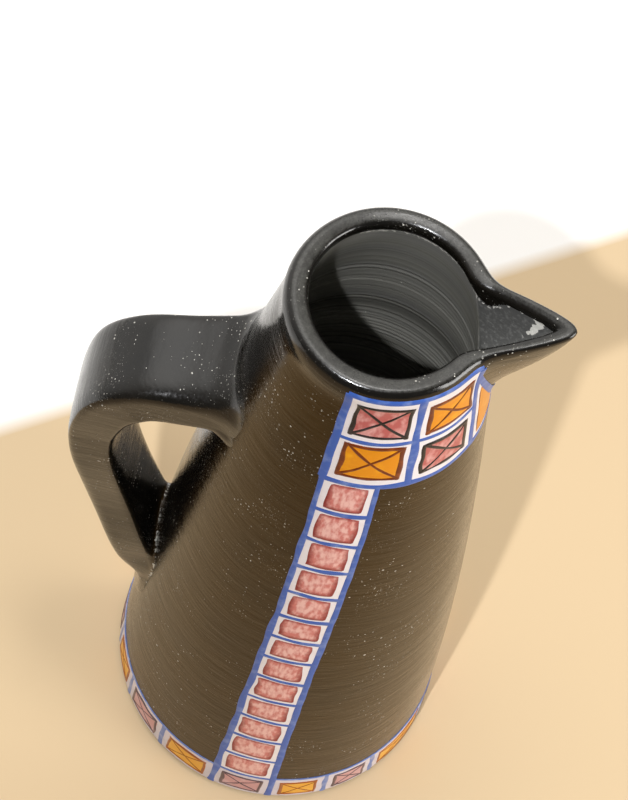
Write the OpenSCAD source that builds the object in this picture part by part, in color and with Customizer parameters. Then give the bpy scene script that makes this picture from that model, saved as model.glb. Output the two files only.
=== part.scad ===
// A wheel-thrown pouring jug: a tall conical body with a rounded rim, a pointed
// open spout, a strap handle and bands of painted boxes, lines and crosses.
// Lengths are in millimetres and angles in degrees. +Z is up, +X points along
// the spout, and the origin is the centre of the flat base.

/* [Body] */
// Height of the rim above the base
jug_h = 250; // [225:1:275]
// Diameter of the base
foot_d = 99; // [90:0.5:108]
// Outer diameter of the neck at the rim
neck_d = 50.6; // [47:0.5:56]
// How far the sides swell past a straight cone, halfway up
side_swell = 3.4; // [1.5:0.1:5]
// Thickness of the thrown wall
wall = 4; // [3.2:0.1:5]
// Thickness of the floor
floor_t = 6; // [4:0.5:9]
// Radius of the hollow's bottom corner
floor_fillet = 9; // [5:0.5:14]
// Rounding where the base meets the side
foot_ease = 1.2; // [0.6:0.1:2]

/* [Rim] */
// Diameter of the rounded rim
rim_roll_d = 4.2; // [3.6:0.1:5.2]

/* [Spout] */
// Reach of the spout past the neck
spout_l = 19.8; // [15:0.1:24]
// Width of the spout where it leaves the rim
spout_w = 22.6; // [18:0.1:26]
// Height of the spout's tip above the rim
spout_rise = 4.3; // [2:0.1:7]
// Depth of the spout's keel at the rim
spout_depth = 42; // [34:0.5:48]
// Thickness of the spout's lip
spout_lip = 3.6; // [2.8:0.1:4.4]
// Depth of the trough at the throat
trough_depth = 26; // [20:0.5:29]
// How far the lip flares where it runs into the rim
lip_flare = 1.8; // [1:0.1:2.6]

/* [Handle] */
// Height of the middle of the handle's upper end
handle_top_h = 188.5; // [178:0.5:194]
// Height of the middle of the handle's lower end
handle_low_h = 68; // [58:0.5:78]
// Stand of the strap's middle line from the body at the corner
handle_stand = 31; // [27:0.5:35]
// Width of the strap
strap_w = 24; // [20:0.5:28]
// Thickness of the strap along the upper arm
arm_t = 15; // [11.5:0.1:16.5]
// Thickness of the strap down the leg
leg_t = 10.8; // [8.5:0.1:12.5]
// Thickness of the strap at its lower end
leg_end_t = 7; // [6:0.1:9]
// How far the clay pressed into the upper joint spreads above and below the arm
join_h = 5; // [3:0.1:7]
// How far the clay pressed into the upper joint spreads beside the arm
join_w = 1.2; // [0.8:0.1:2]
// Stand of the clay pressed into the upper joint
join_stand = 9; // [6:0.1:12]
// Length of the clay smeared down the body below the leg
tail_l = 22; // [16:0.5:28]
// Stand of the smeared clay at its top
tail_t = 3.6; // [3:0.1:5]

/* [Painted bands] */
// Thickness of the white ground
ground_t = 0.2; // [0.15:0.01:0.3]
// Thickness of a colour on the ground
colour_t = 0.15; // [0.1:0.01:0.25]
// Thickness of the dark lines on a colour
stroke_t = 0.1; // [0.08:0.01:0.2]
// Width of the blue lines
line_w = 2.1; // [1.6:0.1:2.6]
// White left bare between a blue line and a coloured box
bare_w = 1.3; // [0.9:0.1:1.7]
// Width of a box's dark outline
outline_w = 1.2; // [0.8:0.1:1.5]
// Width of the strokes that cross in a box
stroke_w = 0.9; // [0.6:0.1:1.3]
// Gap from the rim's seat down to the collar
collar_gap = 3; // [2:0.1:5]
// Height of the collar
collar_h = 38; // [32:0.5:42]
// Turn round the body from one collar bar to the next
collar_turn = 38.75; // [34:0.25:42]
// Number of boxes in each ladder
ladder_boxes = 13; // [9:1:16]
// Height of the foot band
foot_band_h = 16.2; // [13:0.1:20]
// Number of boxes round the foot band
foot_boxes = 16; // [12:2:20]

/* [Hidden] */

glaze_black = [0.10, 0.09, 0.08];
ground_white = [0.95, 0.92, 0.88];
line_blue = [0.29, 0.41, 0.75];
box_pink = [0.78, 0.42, 0.40];
box_yellow = [0.98, 0.67, 0.10];
cross_dark = [0.17, 0.15, 0.15];
cross_brown = [0.50, 0.24, 0.08];

$fn = 96;
// A cut runs past the surface that it leaves by this much
overrun = 1;
// Wall stations closer than this to a band's edge are left out of its outline
edge_clear = 0.05;
quarter = 90;
fillet_step = 15;
half_turn = 180;
full_turn = 360;

// The side of the body, as [height, radius] stations from the base to the rim
wall_steps = 20;
wall_table = [
    for (i = [0 : wall_steps])
        let (s = i / wall_steps)
            [s * jug_h, foot_d / 2 + (neck_d - foot_d) / 2 * s + 4 * side_swell * s * (1 - s)]
];

// The rim is a roll that sits on the flat top of the wall
rim_sink_share = 0.66;
rim_spine_z = jug_h - rim_roll_d / 2;
rim_seat_z = rim_spine_z - rim_sink_share * rim_roll_d / 2;
rim_spine_r = wall_r(rim_seat_z) - wall / 2;

// The spout runs from the rim's middle circle to its tip
spout_root_x = rim_spine_r;
spout_tip_x = wall_r(rim_seat_z) + spout_l;
beak_inner_share = 1.35;
trough_inner_share = 3;
beak_inner_x = spout_root_x - beak_inner_share * wall;
trough_inner_x = spout_root_x - trough_inner_share * wall;
lip_curve_share = 0.72;
keel_curve_share = 0.63;
trough_curve_share = 0.7;
keel_round_share = 1.45;
trough_round_share = 1.1;
nose_share = 0.012;
spout_rings = 14;
spout_crowd = 1.7;
section_steps = 7;

// The strap's middle line, as shares of its stand from the body and of its height
strap_line_shares = [
    [-0.45, 1.02], [-0.08, 1.0], [0.30, 0.968], [0.68, 0.94], [0.92, 0.868],
    [0.98, 0.755], [0.90, 0.63], [0.70, 0.48], [0.47, 0.32], [0.24, 0.17],
    [0.05, 0.05], [-0.10, -0.03], [-0.30, -0.15]
];
// The strap's thickness, as shares of the way from the arm to the end
arm_end_share = 0.34;
leg_start_share = 0.48;
strap_steps = 4;
strap_sides = 16;
strap_round_share = 0.3;
tail_start_share = -0.01;
tail_top_width_share = 0.9;
tail_tip_width_share = 0.35;
tail_tip_stand_share = 0.3;
tail_rings = 8;
join_edge_share = 0.12;

// Places of the painted bands
collar_top_z = rim_seat_z - collar_gap;
collar_low_z = collar_top_z - collar_h;
collar_mid_z = (collar_top_z + collar_low_z) / 2;
foot_turn = full_turn / foot_boxes;
ladder_az = quarter;
collar_edge_az = ladder_az + foot_turn / 2;
collar_columns = 2;
spout_bar_az = collar_edge_az - collar_columns * collar_turn;
foot_band_low = foot_ease + ground_t;
ladder_pitch = (collar_low_z - foot_band_h) / ladder_boxes;
colour_lift = ground_t;
stroke_lift = ground_t + colour_t;

// Radius of the body's side at a height
function wall_r(z) = lookup(z, wall_table);

// Heights at which an outline between two heights follows the wall
function wall_heights(z0, z1) = concat(
    [z0],
    [for (p = wall_table) if (p[0] > z0 + edge_clear && p[0] < z1 - edge_clear) p[0]],
    [z1]
);

// Turn taken by a width measured along the surface at a height
function turn_of(w, z) = w / wall_r(z) * half_turn / PI;

// Distance along the spout, from 1 at the rim's middle circle to 0 at the tip
function spout_u(x) = (spout_tip_x - x) / (spout_tip_x - spout_root_x);
function spout_x(u) = spout_tip_x - u * (spout_tip_x - spout_root_x);
function lip_half_w(u) = spout_w / 2 * pow(u, lip_curve_share);
function flare_w(u) = lip_flare * pow(max(0, u - 1) / (spout_u(beak_inner_x) - 1), 2);
function lip_z(u) = jug_h + spout_rise * (1 - min(1, u));
function keel_drop(u) = spout_depth * pow(u, keel_curve_share);
trough_end_u = pow(2 * spout_lip / spout_w, 1 / lip_curve_share);
function trough_drop(u) =
    trough_depth * pow(min(1, (u - trough_end_u) / (1 - trough_end_u)), trough_curve_share);

// Half outline of a trough or keel section: half-width, depth and how sharp its bottom is
function keel_section(x, half_w, top, drop, sharp) = [
    for (i = [-section_steps : section_steps])
        let (a = quarter * (1 - abs(i) / section_steps))
            [x, sign(i) * half_w * pow(cos(a), sharp), top - drop * pow(sin(a), sharp)]
];

// Crowds the stations of the spout towards its tip
function crowded(i, last, u0, u1) = u0 + (u1 - u0) * pow(1 - i / last, spout_crowd);

// Point on a smooth line through four points, between the second and the third
function smooth(a, b, c, d, t) =
    (2 * b + (c - a) * t + (2 * a - 5 * b + 4 * c - d) * t * t + (3 * b - a - 3 * c + d) * t * t * t) / 2;

function strap_point(p) =
    let (z = handle_low_h + p[1] * (handle_top_h - handle_low_h))
        [-(wall_r(z) + p[0] * handle_stand), z];

strap_knots = [for (p = strap_line_shares) strap_point(p)];
strap_line = [
    for (i = [0 : len(strap_knots) - 4])
        for (j = [0 : strap_steps - 1])
            let (k = strap_knots)
                smooth(k[i], k[i + 1], k[i + 2], k[i + 3], j / strap_steps)
];
strap_last = len(strap_line) - 1;

// Direction across the strap at a station, square to its middle line
function strap_across(i) =
    let (d = strap_line[min(strap_last, i + 1)] - strap_line[max(0, i - 1)])
        [-d[1], d[0]] / norm(d);

function strap_t(i) =
    lookup(i / strap_last, [[0, arm_t], [arm_end_share, arm_t], [leg_start_share, leg_t], [1, leg_end_t]]);

function rounded(c) = sign(c) * pow(abs(c), strap_round_share);

// Closed section of the strap at a station, grown to the sides and across
function strap_ring(i, grow_w, grow_t) = [
    for (k = [0 : strap_sides - 1])
        let (
            a = full_turn * k / strap_sides,
            side = rounded(cos(a)) * (strap_w / 2 + grow_w),
            up = rounded(sin(a)) * (strap_t(i) / 2 + grow_t),
            at = strap_line[i] + up * strap_across(i)
        )
            [at[0], side, at[1]]
];

// Solid through a row of closed sections with equal numbers of points
module loft(rings) {
    n = len(rings[0]);
    last = len(rings) - 1;
    polyhedron(
        points = [for (r = rings) for (p = r) p],
        faces = concat(
            [[for (k = [0 : n - 1]) k]],
            [for (i = [0 : last - 1]) for (k = [0 : n - 1])
                [i * n + k, (i + 1) * n + k, i * n + (k + 1) % n]],
            [for (i = [0 : last - 1]) for (k = [0 : n - 1])
                [i * n + (k + 1) % n, (i + 1) * n + k, (i + 1) * n + (k + 1) % n]],
            [[for (k = [n - 1 : -1 : 0]) last * n + k]]
        )
    );
}

// Hollow solid between a row of outer sections and a row of inner ones
module sleeve(outer, inner) {
    n = len(outer[0]);
    last = len(outer) - 1;
    all = len(outer) * n;
    function at(i, k) = i * n + k % n;
    polyhedron(
        points = [for (rings = [outer, inner]) for (r = rings) for (p = r) p],
        faces = [
            for (k = [0 : n - 1])
                each concat(
                    [for (i = [0 : last - 1]) [at(i, k), at(i + 1, k), at(i, k + 1)]],
                    [for (i = [0 : last - 1]) [at(i, k + 1), at(i + 1, k), at(i + 1, k + 1)]],
                    [for (i = [0 : last - 1]) [all + at(i, k), all + at(i, k + 1), all + at(i + 1, k)]],
                    [for (i = [0 : last - 1]) [all + at(i, k + 1), all + at(i + 1, k + 1), all + at(i + 1, k)]],
                    [[at(0, k), at(0, k + 1), all + at(0, k)]],
                    [[at(0, k + 1), all + at(0, k + 1), all + at(0, k)]],
                    [[at(last, k), all + at(last, k), at(last, k + 1)]],
                    [[at(last, k + 1), all + at(last, k), all + at(last, k + 1)]]
                )
        ]
    );
}

// The body as if it were full, up to the rim's seat
module full_body() {
    zs = wall_heights(0, rim_seat_z);
    rotate_extrude()
        polygon(concat([[0, 0]], [for (z = zs) [wall_r(z), z]], [[0, rim_seat_z]]));
}

// Outside of the spout, run inwards through the neck
module beak() {
    loft([
        for (i = [0 : spout_rings])
            let (u = crowded(i, spout_rings, nose_share, spout_u(beak_inner_x)))
                keel_section(
                    spout_x(u), lip_half_w(u) + flare_w(u), lip_z(u), keel_drop(min(1, u)), keel_round_share
                )
    ]);
}

// Hollow of the spout, run inwards into the bore and up past the lip
module trough() {
    loft([
        for (i = [0 : spout_rings])
            let (
                u = crowded(i, spout_rings, trough_end_u + nose_share, spout_u(trough_inner_x)),
                half_w = lip_half_w(u) - spout_lip,
                section = keel_section(spout_x(u), half_w, lip_z(u), trough_drop(u), trough_round_share)
            )
                concat(
                    [[spout_x(u), -half_w, lip_z(u) + overrun]],
                    section,
                    [[spout_x(u), half_w, lip_z(u) + overrun]]
                )
    ]);
}

// The rim's roll, whole
module rim_ring() {
    rotate_extrude()
        intersection() {
            translate([rim_spine_r, rim_spine_z])
                circle(d = rim_roll_d);
            translate([0, rim_seat_z])
                square([rim_spine_r + rim_roll_d, rim_roll_d]);
        }
}

// The strap, run into the body at both ends
module strap_run() {
    loft([for (i = [0 : strap_last]) strap_ring(i, 0, 0)]);
}

// A patch of coat on the side of the body, between two heights and two azimuths
module coat(z0, z1, a0, a1, lift, thick) {
    zs = wall_heights(z0, z1);
    outline = concat(
        [for (z = zs) [wall_r(z) + lift + thick, z]],
        [for (i = [len(zs) - 1 : -1 : 0]) [wall_r(zs[i]) + lift, zs[i]]]
    );
    rotate([0, 0, a0])
        rotate_extrude(angle = a1 - a0)
            polygon(outline);
}

// A coloured box: the patch between blue lines less the bare margin
module box_coat(z0, z1, a0, a1, lift, thick) {
    margin = line_w / 2 + bare_w;
    turn = turn_of(margin, (z0 + z1) / 2);
    coat(z0 + margin, z1 - margin, a0 + turn, a1 - turn, lift, thick);
}

// Window through a coat, between the middles of the blue lines round a box
module line_window(z0, z1, a0, a1) {
    turn = turn_of(line_w / 2, (z0 + z1) / 2);
    coat(z0 + line_w / 2, z1 - line_w / 2, a0 + turn, a1 - turn, 0, ground_t + colour_t + overrun);
}

// A prism that runs outwards through the side of the body at an azimuth
module side_prism(az, outline) {
    rotate([0, 0, az])
        rotate([quarter, 0, quarter])
            linear_extrude(foot_d)
                polygon(outline);
}

// A dark outline round a box with two strokes that cross in it
module boxed_cross(z0, z1, a0, a1) {
    margin = line_w / 2 + bare_w;
    az = (a0 + a1) / 2;
    mid = (z0 + z1) / 2;
    half_turn_in = (a1 - a0) / 2 - turn_of(margin, mid);
    across = wall_r(mid) * sin(half_turn_in) - outline_w;
    up = (z1 - z0) / 2 - margin - outline_w;
    slant = norm([across, up]) * stroke_w / 2;
    difference() {
        box_coat(z0, z1, a0, a1, stroke_lift, stroke_t);
        for (s = [-1, 1]) {
            side_prism(az, [
                [-across + slant / up, mid + s * up],
                [across - slant / up, mid + s * up],
                [0, mid + s * slant / across]
            ]);
            side_prism(az, [
                [s * across, mid - up + slant / across],
                [s * across, mid + up - slant / across],
                [s * slant / up, mid]
            ]);
        }
    }
}

// Azimuth of the left side of a collar column
function collar_az(column) = -collar_edge_az + column * collar_turn;

// One box in each collar column, in alternate rows, on both sides of the jug
module collar_boxes(first_upper, crossed) {
    for (flip = [0, 1])
        mirror([0, flip, 0])
            for (column = [0 : collar_columns - 1]) {
                upper = (column % 2 == 0) == first_upper;
                z0 = upper ? collar_mid_z : collar_low_z;
                z1 = upper ? collar_top_z : collar_mid_z;
                if (crossed)
                    boxed_cross(z0, z1, collar_az(column), collar_az(column + 1));
                else
                    box_coat(z0, z1, collar_az(column), collar_az(column + 1), colour_lift, colour_t);
            }
}

// Azimuth of the left side of a foot box
function foot_az(i) = -ladder_az - foot_turn / 2 + i * foot_turn;

// Every second box of the foot band
module foot_row(first, crossed) {
    for (i = [first : 2 : foot_boxes - 1]) {
        if (crossed)
            boxed_cross(foot_band_low, foot_band_h, foot_az(i), foot_az(i + 1));
        else
            box_coat(foot_band_low, foot_band_h, foot_az(i), foot_az(i + 1), colour_lift, colour_t);
    }
}

module thrown_body() {
    inner_r = wall_r(floor_t + floor_fillet) - wall - floor_fillet;
    zs = wall_heights(foot_ease, rim_seat_z);
    in_zs = wall_heights(floor_t + floor_fillet, rim_seat_z);
    outline = concat(
        [[0, 0], [foot_d / 2 - foot_ease, 0]],
        [for (z = zs) [wall_r(z), z]],
        [for (i = [len(in_zs) - 1 : -1 : 0]) [wall_r(in_zs[i]) - wall, in_zs[i]]],
        [for (a = [fillet_step : fillet_step : quarter])
            [inner_r + floor_fillet * cos(a), floor_t + floor_fillet * (1 - sin(a))]],
        [[0, floor_t]]
    );
    color(glaze_black)
        difference() {
            rotate_extrude()
                polygon(outline);
            trough();
        }
}

module rim_roll() {
    color(glaze_black)
        difference() {
            rim_ring();
            trough();
        }
}

module pouring_spout() {
    color(glaze_black)
        difference() {
            beak();
            trough();
            full_body();
            rim_ring();
            cylinder(r = rim_spine_r, h = jug_h + spout_rise + overrun);
        }
}

module handle_strap() {
    color(glaze_black)
        difference() {
            strap_run();
            full_body();
        }
}

module handle_upper_join() {
    stands = [for (p = strap_line) -p[0] - wall_r(p[1])];
    reach = [for (i = [0 : strap_last]) if (i < strap_last / 2 && stands[i] < join_stand) i];
    color(glaze_black)
        difference() {
            sleeve(
                [for (i = reach)
                    let (grow = join_edge_share + pow(1 - max(0, stands[i]) / join_stand, 2))
                        strap_ring(i, grow * join_w, grow * join_h)],
                [for (i = reach) strap_ring(i, 0, 0)]
            );
            full_body();
        }
}

module handle_lower_tail() {
    top_z = handle_low_h + tail_start_share * (handle_top_h - handle_low_h);
    color(glaze_black)
        difference() {
            loft([
                for (i = [0 : tail_rings])
                    let (
                        s = i / tail_rings,
                        z = top_z - s * tail_l,
                        half_w = strap_w / 2 * (tail_top_width_share * (1 - s) + tail_tip_width_share * s),
                        stand = tail_t * (1 - s * (1 - tail_tip_stand_share))
                    )
                        [for (k = [0 : strap_sides - 1])
                            let (a = -full_turn * k / strap_sides)
                                [-wall_r(z) - stand * sin(a), half_w * cos(a), z]]
            ]);
            strap_run();
            full_body();
        }
}

module collar_ground() {
    reach = collar_edge_az + turn_of(line_w / 2, collar_mid_z);
    color(ground_white)
        difference() {
            coat(collar_low_z - line_w / 2, collar_top_z + line_w / 2, -reach, reach, 0, ground_t);
            beak();
        }
}

module collar_lines() {
    reach = collar_edge_az + turn_of(line_w / 2, collar_mid_z);
    color(line_blue)
        difference() {
            coat(collar_low_z - line_w / 2, collar_top_z + line_w / 2, -reach, reach, colour_lift, colour_t);
            for (flip = [0, 1])
                mirror([0, flip, 0]) {
                    for (column = [0 : collar_columns - 1]) {
                        line_window(collar_low_z, collar_mid_z, collar_az(column), collar_az(column + 1));
                        line_window(collar_mid_z, collar_top_z, collar_az(column), collar_az(column + 1));
                    }
                    line_window(collar_low_z, collar_top_z, -spout_bar_az, 0);
                }
            beak();
        }
}

module collar_pink_boxes() {
    color(box_pink)
        collar_boxes(true, false);
}

module collar_yellow_boxes() {
    color(box_yellow)
        collar_boxes(false, false);
}

module collar_dark_crosses() {
    color(cross_dark)
        collar_boxes(true, true);
}

module collar_brown_crosses() {
    color(cross_brown)
        collar_boxes(false, true);
}

module spout_yellow_boxes() {
    color(box_yellow)
        difference() {
            for (flip = [0, 1])
                mirror([0, flip, 0])
                    box_coat(collar_low_z, collar_top_z, -spout_bar_az, 0, colour_lift, colour_t);
            beak();
        }
}

module spout_brown_outlines() {
    margin = line_w / 2 + bare_w + outline_w;
    turn = turn_of(margin, collar_mid_z);
    color(cross_brown)
        difference() {
            for (flip = [0, 1])
                mirror([0, flip, 0])
                    difference() {
                        box_coat(collar_low_z, collar_top_z, -spout_bar_az, 0, stroke_lift, stroke_t);
                        coat(
                            collar_low_z + margin, collar_top_z - margin,
                            -spout_bar_az + turn, -turn, 0, stroke_lift + stroke_t + overrun
                        );
                    }
            beak();
        }
}

module ladder_ground() {
    turn = foot_turn / 2 + turn_of(line_w / 2, collar_mid_z);
    color(ground_white)
        for (s = [-1, 1])
            coat(
                foot_band_h + line_w / 2, collar_low_z - line_w / 2,
                s * ladder_az - turn, s * ladder_az + turn, 0, ground_t
            );
}

module ladder_lines() {
    turn = foot_turn / 2 + turn_of(line_w / 2, collar_mid_z);
    color(line_blue)
        for (s = [-1, 1])
            difference() {
                coat(
                    foot_band_h + line_w / 2, collar_low_z - line_w / 2,
                    s * ladder_az - turn, s * ladder_az + turn, colour_lift, colour_t
                );
                for (i = [0 : ladder_boxes - 1])
                    line_window(
                        foot_band_h + i * ladder_pitch, foot_band_h + (i + 1) * ladder_pitch,
                        s * ladder_az - foot_turn / 2, s * ladder_az + foot_turn / 2
                    );
            }
}

module ladder_pink_boxes() {
    color(box_pink)
        for (s = [-1, 1])
            for (i = [0 : ladder_boxes - 1])
                box_coat(
                    foot_band_h + i * ladder_pitch, foot_band_h + (i + 1) * ladder_pitch,
                    s * ladder_az - foot_turn / 2, s * ladder_az + foot_turn / 2,
                    colour_lift, colour_t
                );
}

module foot_ground() {
    color(ground_white)
        coat(foot_band_low, foot_band_h + line_w / 2, 0, full_turn, 0, ground_t);
}

module foot_lines() {
    color(line_blue)
        difference() {
            coat(foot_band_low, foot_band_h + line_w / 2, 0, full_turn, colour_lift, colour_t);
            for (i = [0 : foot_boxes - 1])
                line_window(foot_band_low, foot_band_h, foot_az(i), foot_az(i + 1));
        }
}

module foot_pink_boxes() {
    color(box_pink)
        foot_row(0, false);
}

module foot_yellow_boxes() {
    color(box_yellow)
        foot_row(1, false);
}

module foot_dark_crosses() {
    color(cross_dark)
        foot_row(0, true);
}

module foot_brown_crosses() {
    color(cross_brown)
        foot_row(1, true);
}

thrown_body();
rim_roll();
pouring_spout();
handle_strap();
handle_upper_join();
handle_lower_tail();
collar_ground();
collar_lines();
collar_pink_boxes();
collar_yellow_boxes();
collar_dark_crosses();
collar_brown_crosses();
spout_yellow_boxes();
spout_brown_outlines();
ladder_ground();
ladder_lines();
ladder_pink_boxes();
foot_ground();
foot_lines();
foot_pink_boxes();
foot_yellow_boxes();
foot_dark_crosses();
foot_brown_crosses();
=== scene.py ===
"""Looks of a wheel-thrown pouring jug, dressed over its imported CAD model.

Lengths are in millimetres and angles in degrees until a mesh is written, in metres.
Azimuth 0 is the spout, on +X, and the handle is at 180. The side that the camera sees
has negative azimuths, and the other side is painted alike.
"""
import math

import bpy
import numpy as np
from mathutils import Matrix, Vector


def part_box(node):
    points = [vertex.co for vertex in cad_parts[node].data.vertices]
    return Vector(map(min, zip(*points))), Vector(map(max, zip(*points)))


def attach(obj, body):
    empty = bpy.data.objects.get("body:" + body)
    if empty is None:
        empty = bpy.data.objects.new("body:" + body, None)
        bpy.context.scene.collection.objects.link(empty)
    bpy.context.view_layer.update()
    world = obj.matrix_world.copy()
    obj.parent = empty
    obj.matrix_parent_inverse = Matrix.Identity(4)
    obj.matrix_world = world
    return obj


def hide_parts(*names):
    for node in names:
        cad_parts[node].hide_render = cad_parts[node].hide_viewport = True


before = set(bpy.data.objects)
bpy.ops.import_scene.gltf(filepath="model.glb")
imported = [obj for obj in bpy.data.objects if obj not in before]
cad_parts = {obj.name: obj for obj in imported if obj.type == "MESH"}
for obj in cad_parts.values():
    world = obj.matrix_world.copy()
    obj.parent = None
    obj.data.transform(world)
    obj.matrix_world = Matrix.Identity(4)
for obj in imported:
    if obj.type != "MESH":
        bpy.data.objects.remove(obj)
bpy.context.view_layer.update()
MM = 0.001
rng = np.random.default_rng(11)


# Sizes read from the CAD model

def cad_points(node):
    """A CAD node's vertices, in millimetres."""
    return np.array([v.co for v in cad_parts[node].data.vertices]) / MM


def fit_side(above=20.0):
    """The radius of the body's side as a parabola over the height, from the CAD body's back."""
    points = cad_points("thrown_body")
    back = points[(points[:, 0] < 0) & (points[:, 2] > above)]
    heights = np.unique(back[:, 2].round(1))
    radii = [np.hypot(*back[abs(back[:, 2] - z) < 0.1, :2].T).max() for z in heights]
    return np.polyfit(heights, radii, 2)


SIDE = fit_side()
JUG_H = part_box("rim_roll")[1].z / MM
RIM_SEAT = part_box("rim_roll")[0].z / MM
TIP_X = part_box("pouring_spout")[1].x / MM
TIP_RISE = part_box("pouring_spout")[1].z / MM - JUG_H
STRAP_HALF_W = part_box("handle_strap")[1].y / MM

# Sizes of the clay
WALL = 4.0
FLOOR_T = 6.0
FLOOR_FILLET = 9.0
FLOOR_MIDDLE_R = 4.0
FOOT_EASE = 1.2
FOOT_CORNER = (-70, -10)
BASE_RECESS = 0.4
BASE_RING_W = 7.0
BASE_STEP_W = 3.0
BASE_MIDDLE_R = 6.0
CENTRE_R = 0.5
RIM_BULGE = 0.75
RIM_BULGE_H = 5.0
RIM_SHIFT = (-0.4, -0.45)
LIP_OUT_H = 4.8
LIP_TIP_H = 2.0
LIP_IN_H = 2.2
LIP_OUT_POWER = 2.0
LIP_IN_POWER = 4.0
LIP_SLOPE = 1.4
GLAZE_DROP = 7.3
GLAZE_LINE_Z = JUG_H - GLAZE_DROP
GLAZE_BEAD = 0.3
GLAZE_BEAD_H = 1.2
RIM_ROLL_IN = 0.7
RIM_ROLL_IN_H = 3.0
LIP_HALF = (WALL + RIM_BULGE + GLAZE_BEAD + RIM_ROLL_IN) / 2

# Sizes of the spout
ROOT_X = np.polyval(SIDE, RIM_SEAT) - WALL / 2
SPOUT_W = 22.6
SPOUT_LIP = 3.6
KEEL_DEPTH = 42.0
TROUGH_DEPTH = 26.0
LIP_CURVE = 0.72
KEEL_CURVE = 0.63
TIP_BLUNT = 0.9
TIP_BLUNT_RISE = 0.02
TIP_BLUNT_FALL = 0.3
TROUGH_CURVE = 0.7
KEEL_POWER = 1.38
TROUGH_POWER = 1.82
SPOUT_FILLET = 5.0
THROAT_FILLET = 2.5
SPOUT_AZ = 36.0
SPOUT_FOOT_Z = 211.0
THROAT_Z = 221.0
BEAK_REACH_AZ = 70.0

# Sizes of the handle; the tables go by the share of the strap's length
ARM_END = 0.29
LEG_START = 0.455
TAIL_SHARE = 0.18
TAIL_END = 1 + TAIL_SHARE
TAIL_SINK = 5.0
TAIL_POWER = 2.6
TAIL_ROUNDING = 0.85
TAIL_ROUND_FROM = 0.94
STRAP_THICK = ((0.0, 15.0), (ARM_END, 15.0), (LEG_START, 12.4), (0.7, 13.4), (0.9, 13.2), (1.0, 12.6),
               (TAIL_END, 8.0))
STRAP_OUT = ((0.0, 0.0), (0.25, 0.0), (0.36, -1.3), (0.5, -0.4), (0.7, 0.9), (0.9, 1.1), (1.0, 1.1),
             (TAIL_END, 0.8))
STRAP_WIDEN = ((0.0, 2.6), (0.1, 1.7), (0.25, 1.3), (0.42, 0.2), (0.94, 0.0), (1.0, -0.3), (1.06, -1.1),
               (1.11, -2.7), (1.15, -5.2), (TAIL_END, -8.0))
STRAP_LEAN = ((0.0, 0.9), (0.1, 0.5), (0.25, -0.8), (0.42, -0.4), (1.0, 0.0))
STRAP_CROWN = 0.2
STRAP_WAVES = 0.4
SIDE_HOLLOW = 0.035
EDGE_ROUNDING = 0.42
EDGE_SHARP = 0.24
EDGE_WAVES = 0.4
EDGE_RANGE = (0.5, 1.6)
JOIN_STAND = 9.0
TOP_FILLET = 5.0
UNDER_FILLET = 6.0
LOWER_FILLET = 1.2
TAIL_FILLET = 4.0
TAIL_FILLET_FROM = 0.9
RUN_IN = 0.1
JOIN_FADE = 1.0
BURIED_SHARE = 3.2
TUCK = 2.0
SKIRT_SINK = 0.04

# Unevenness of the thrown clay
CLAY_WAVES = 0.12
CLAY_SEED = 3
WAVE_TURNS = (1, 2, 2, 3, 4)
WAVE_RISE = 0.04
GROOVES_Z = (215.6, 212.4, 206.9, 204.8, 199.4, 189.8, 187.9, 182.0, 178.9, 176.6, 174.6, 171.8, 169.6, 167.3,
             164.7, 159.7, 157.0, 152.0)
GROOVES_END = GROOVES_Z[-1] - 2.0
LOOSE_GAP = (3, 9)
LOOSE_GROOVES = 20
GROOVE_DEPTH = 0.3
GROOVE_SPREAD = (0.5, 1.2)
GROOVE_W = 0.6
GROOVE_DRIFT = 0.5
RIDGE_SHARE = 0.6
RIDGE_UP = 2.2 * GROOVE_W
SWELLS = ((0.12, 4.1, 0), (0.1, 7.3, 1))
SWELL_DROP = 15.0
SWELL_FADE = 25.0

# Where the finishes change
# Pale blisters along the glaze line inside the rim, brightened as painted glints
FLECK_W = 1.5
TROUGH_FLECKS = 0.1
TROUGH_DROP_LESS = 4.6
TROUGH_DROP_WAY = 0.25
TROUGH_OUT = 0.05
TROUGH_OUT_FADE = 0.4
THROAT_AZ = 26.0
THROAT_AZ_FADE = 4.0
PATCH_AT = (37.2, 2.1)
PATCH_SIZE = (4.2, 0.8)
PATCH_LEVEL = 1.7
# The lip's upward-facing top is paler: rubbed glaze, and a painted reflection of the pale surroundings above
WEAR_AND_SHEEN_TILT = 0.82
WEAR_AND_SHEEN_FADE = 0.14
# Painted shade: the outer glaze's brown fades to black below the rim's top and round the handle
RIM_SHADE_H = 2.0
RIM_SHADE_FADE = 5.0
HANDLE_SHADE_AZ = 162.0
HANDLE_SHADE_AZ_FADE = 15.0
BROWN_FADE = 2.5
# Painted highlight: pale glints down the seam where the handle's leg meets the body
CREVICE_GLINT_W = 1.2
CREVICE_GLINT_FROM = 0.8
CREVICE_GLINTS = 0.92
GLAZED, SATIN, BARE, THIN = range(4)

# Counts of the meshes and of the rounds of smoothing
COLUMNS = 244
COLUMN_SPREAD = 0.15
NECK_Z = 208.0
BORE_STEP = 0.45
HALVINGS = 26
STATIONS = 230
STATION_EVEN = 0.45
SECTION = 64
PUSH_TRIES = 49
LINE_ROUNDS = 12
STRAP_ROUNDS = 30
PUSH_ROUNDS = 8
CELL_ROUNDS = 6


# The clay's surface

def wall_r(z):
    """Radius of the body's side at a height."""
    return np.polyval(SIDE, z)


def smooth_max(a, b, width):
    """The larger of two values, rounded over where they are within a width of each other."""
    share = np.clip(0.5 + 0.5 * (a - b) / width, 0, 1)
    return b + (a - b) * share + width * share * (1 - share)


def ease(x):
    """A smooth step from 0 to 1."""
    x = np.clip(x, 0, 1)
    return x * x * (3 - 2 * x)


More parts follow.
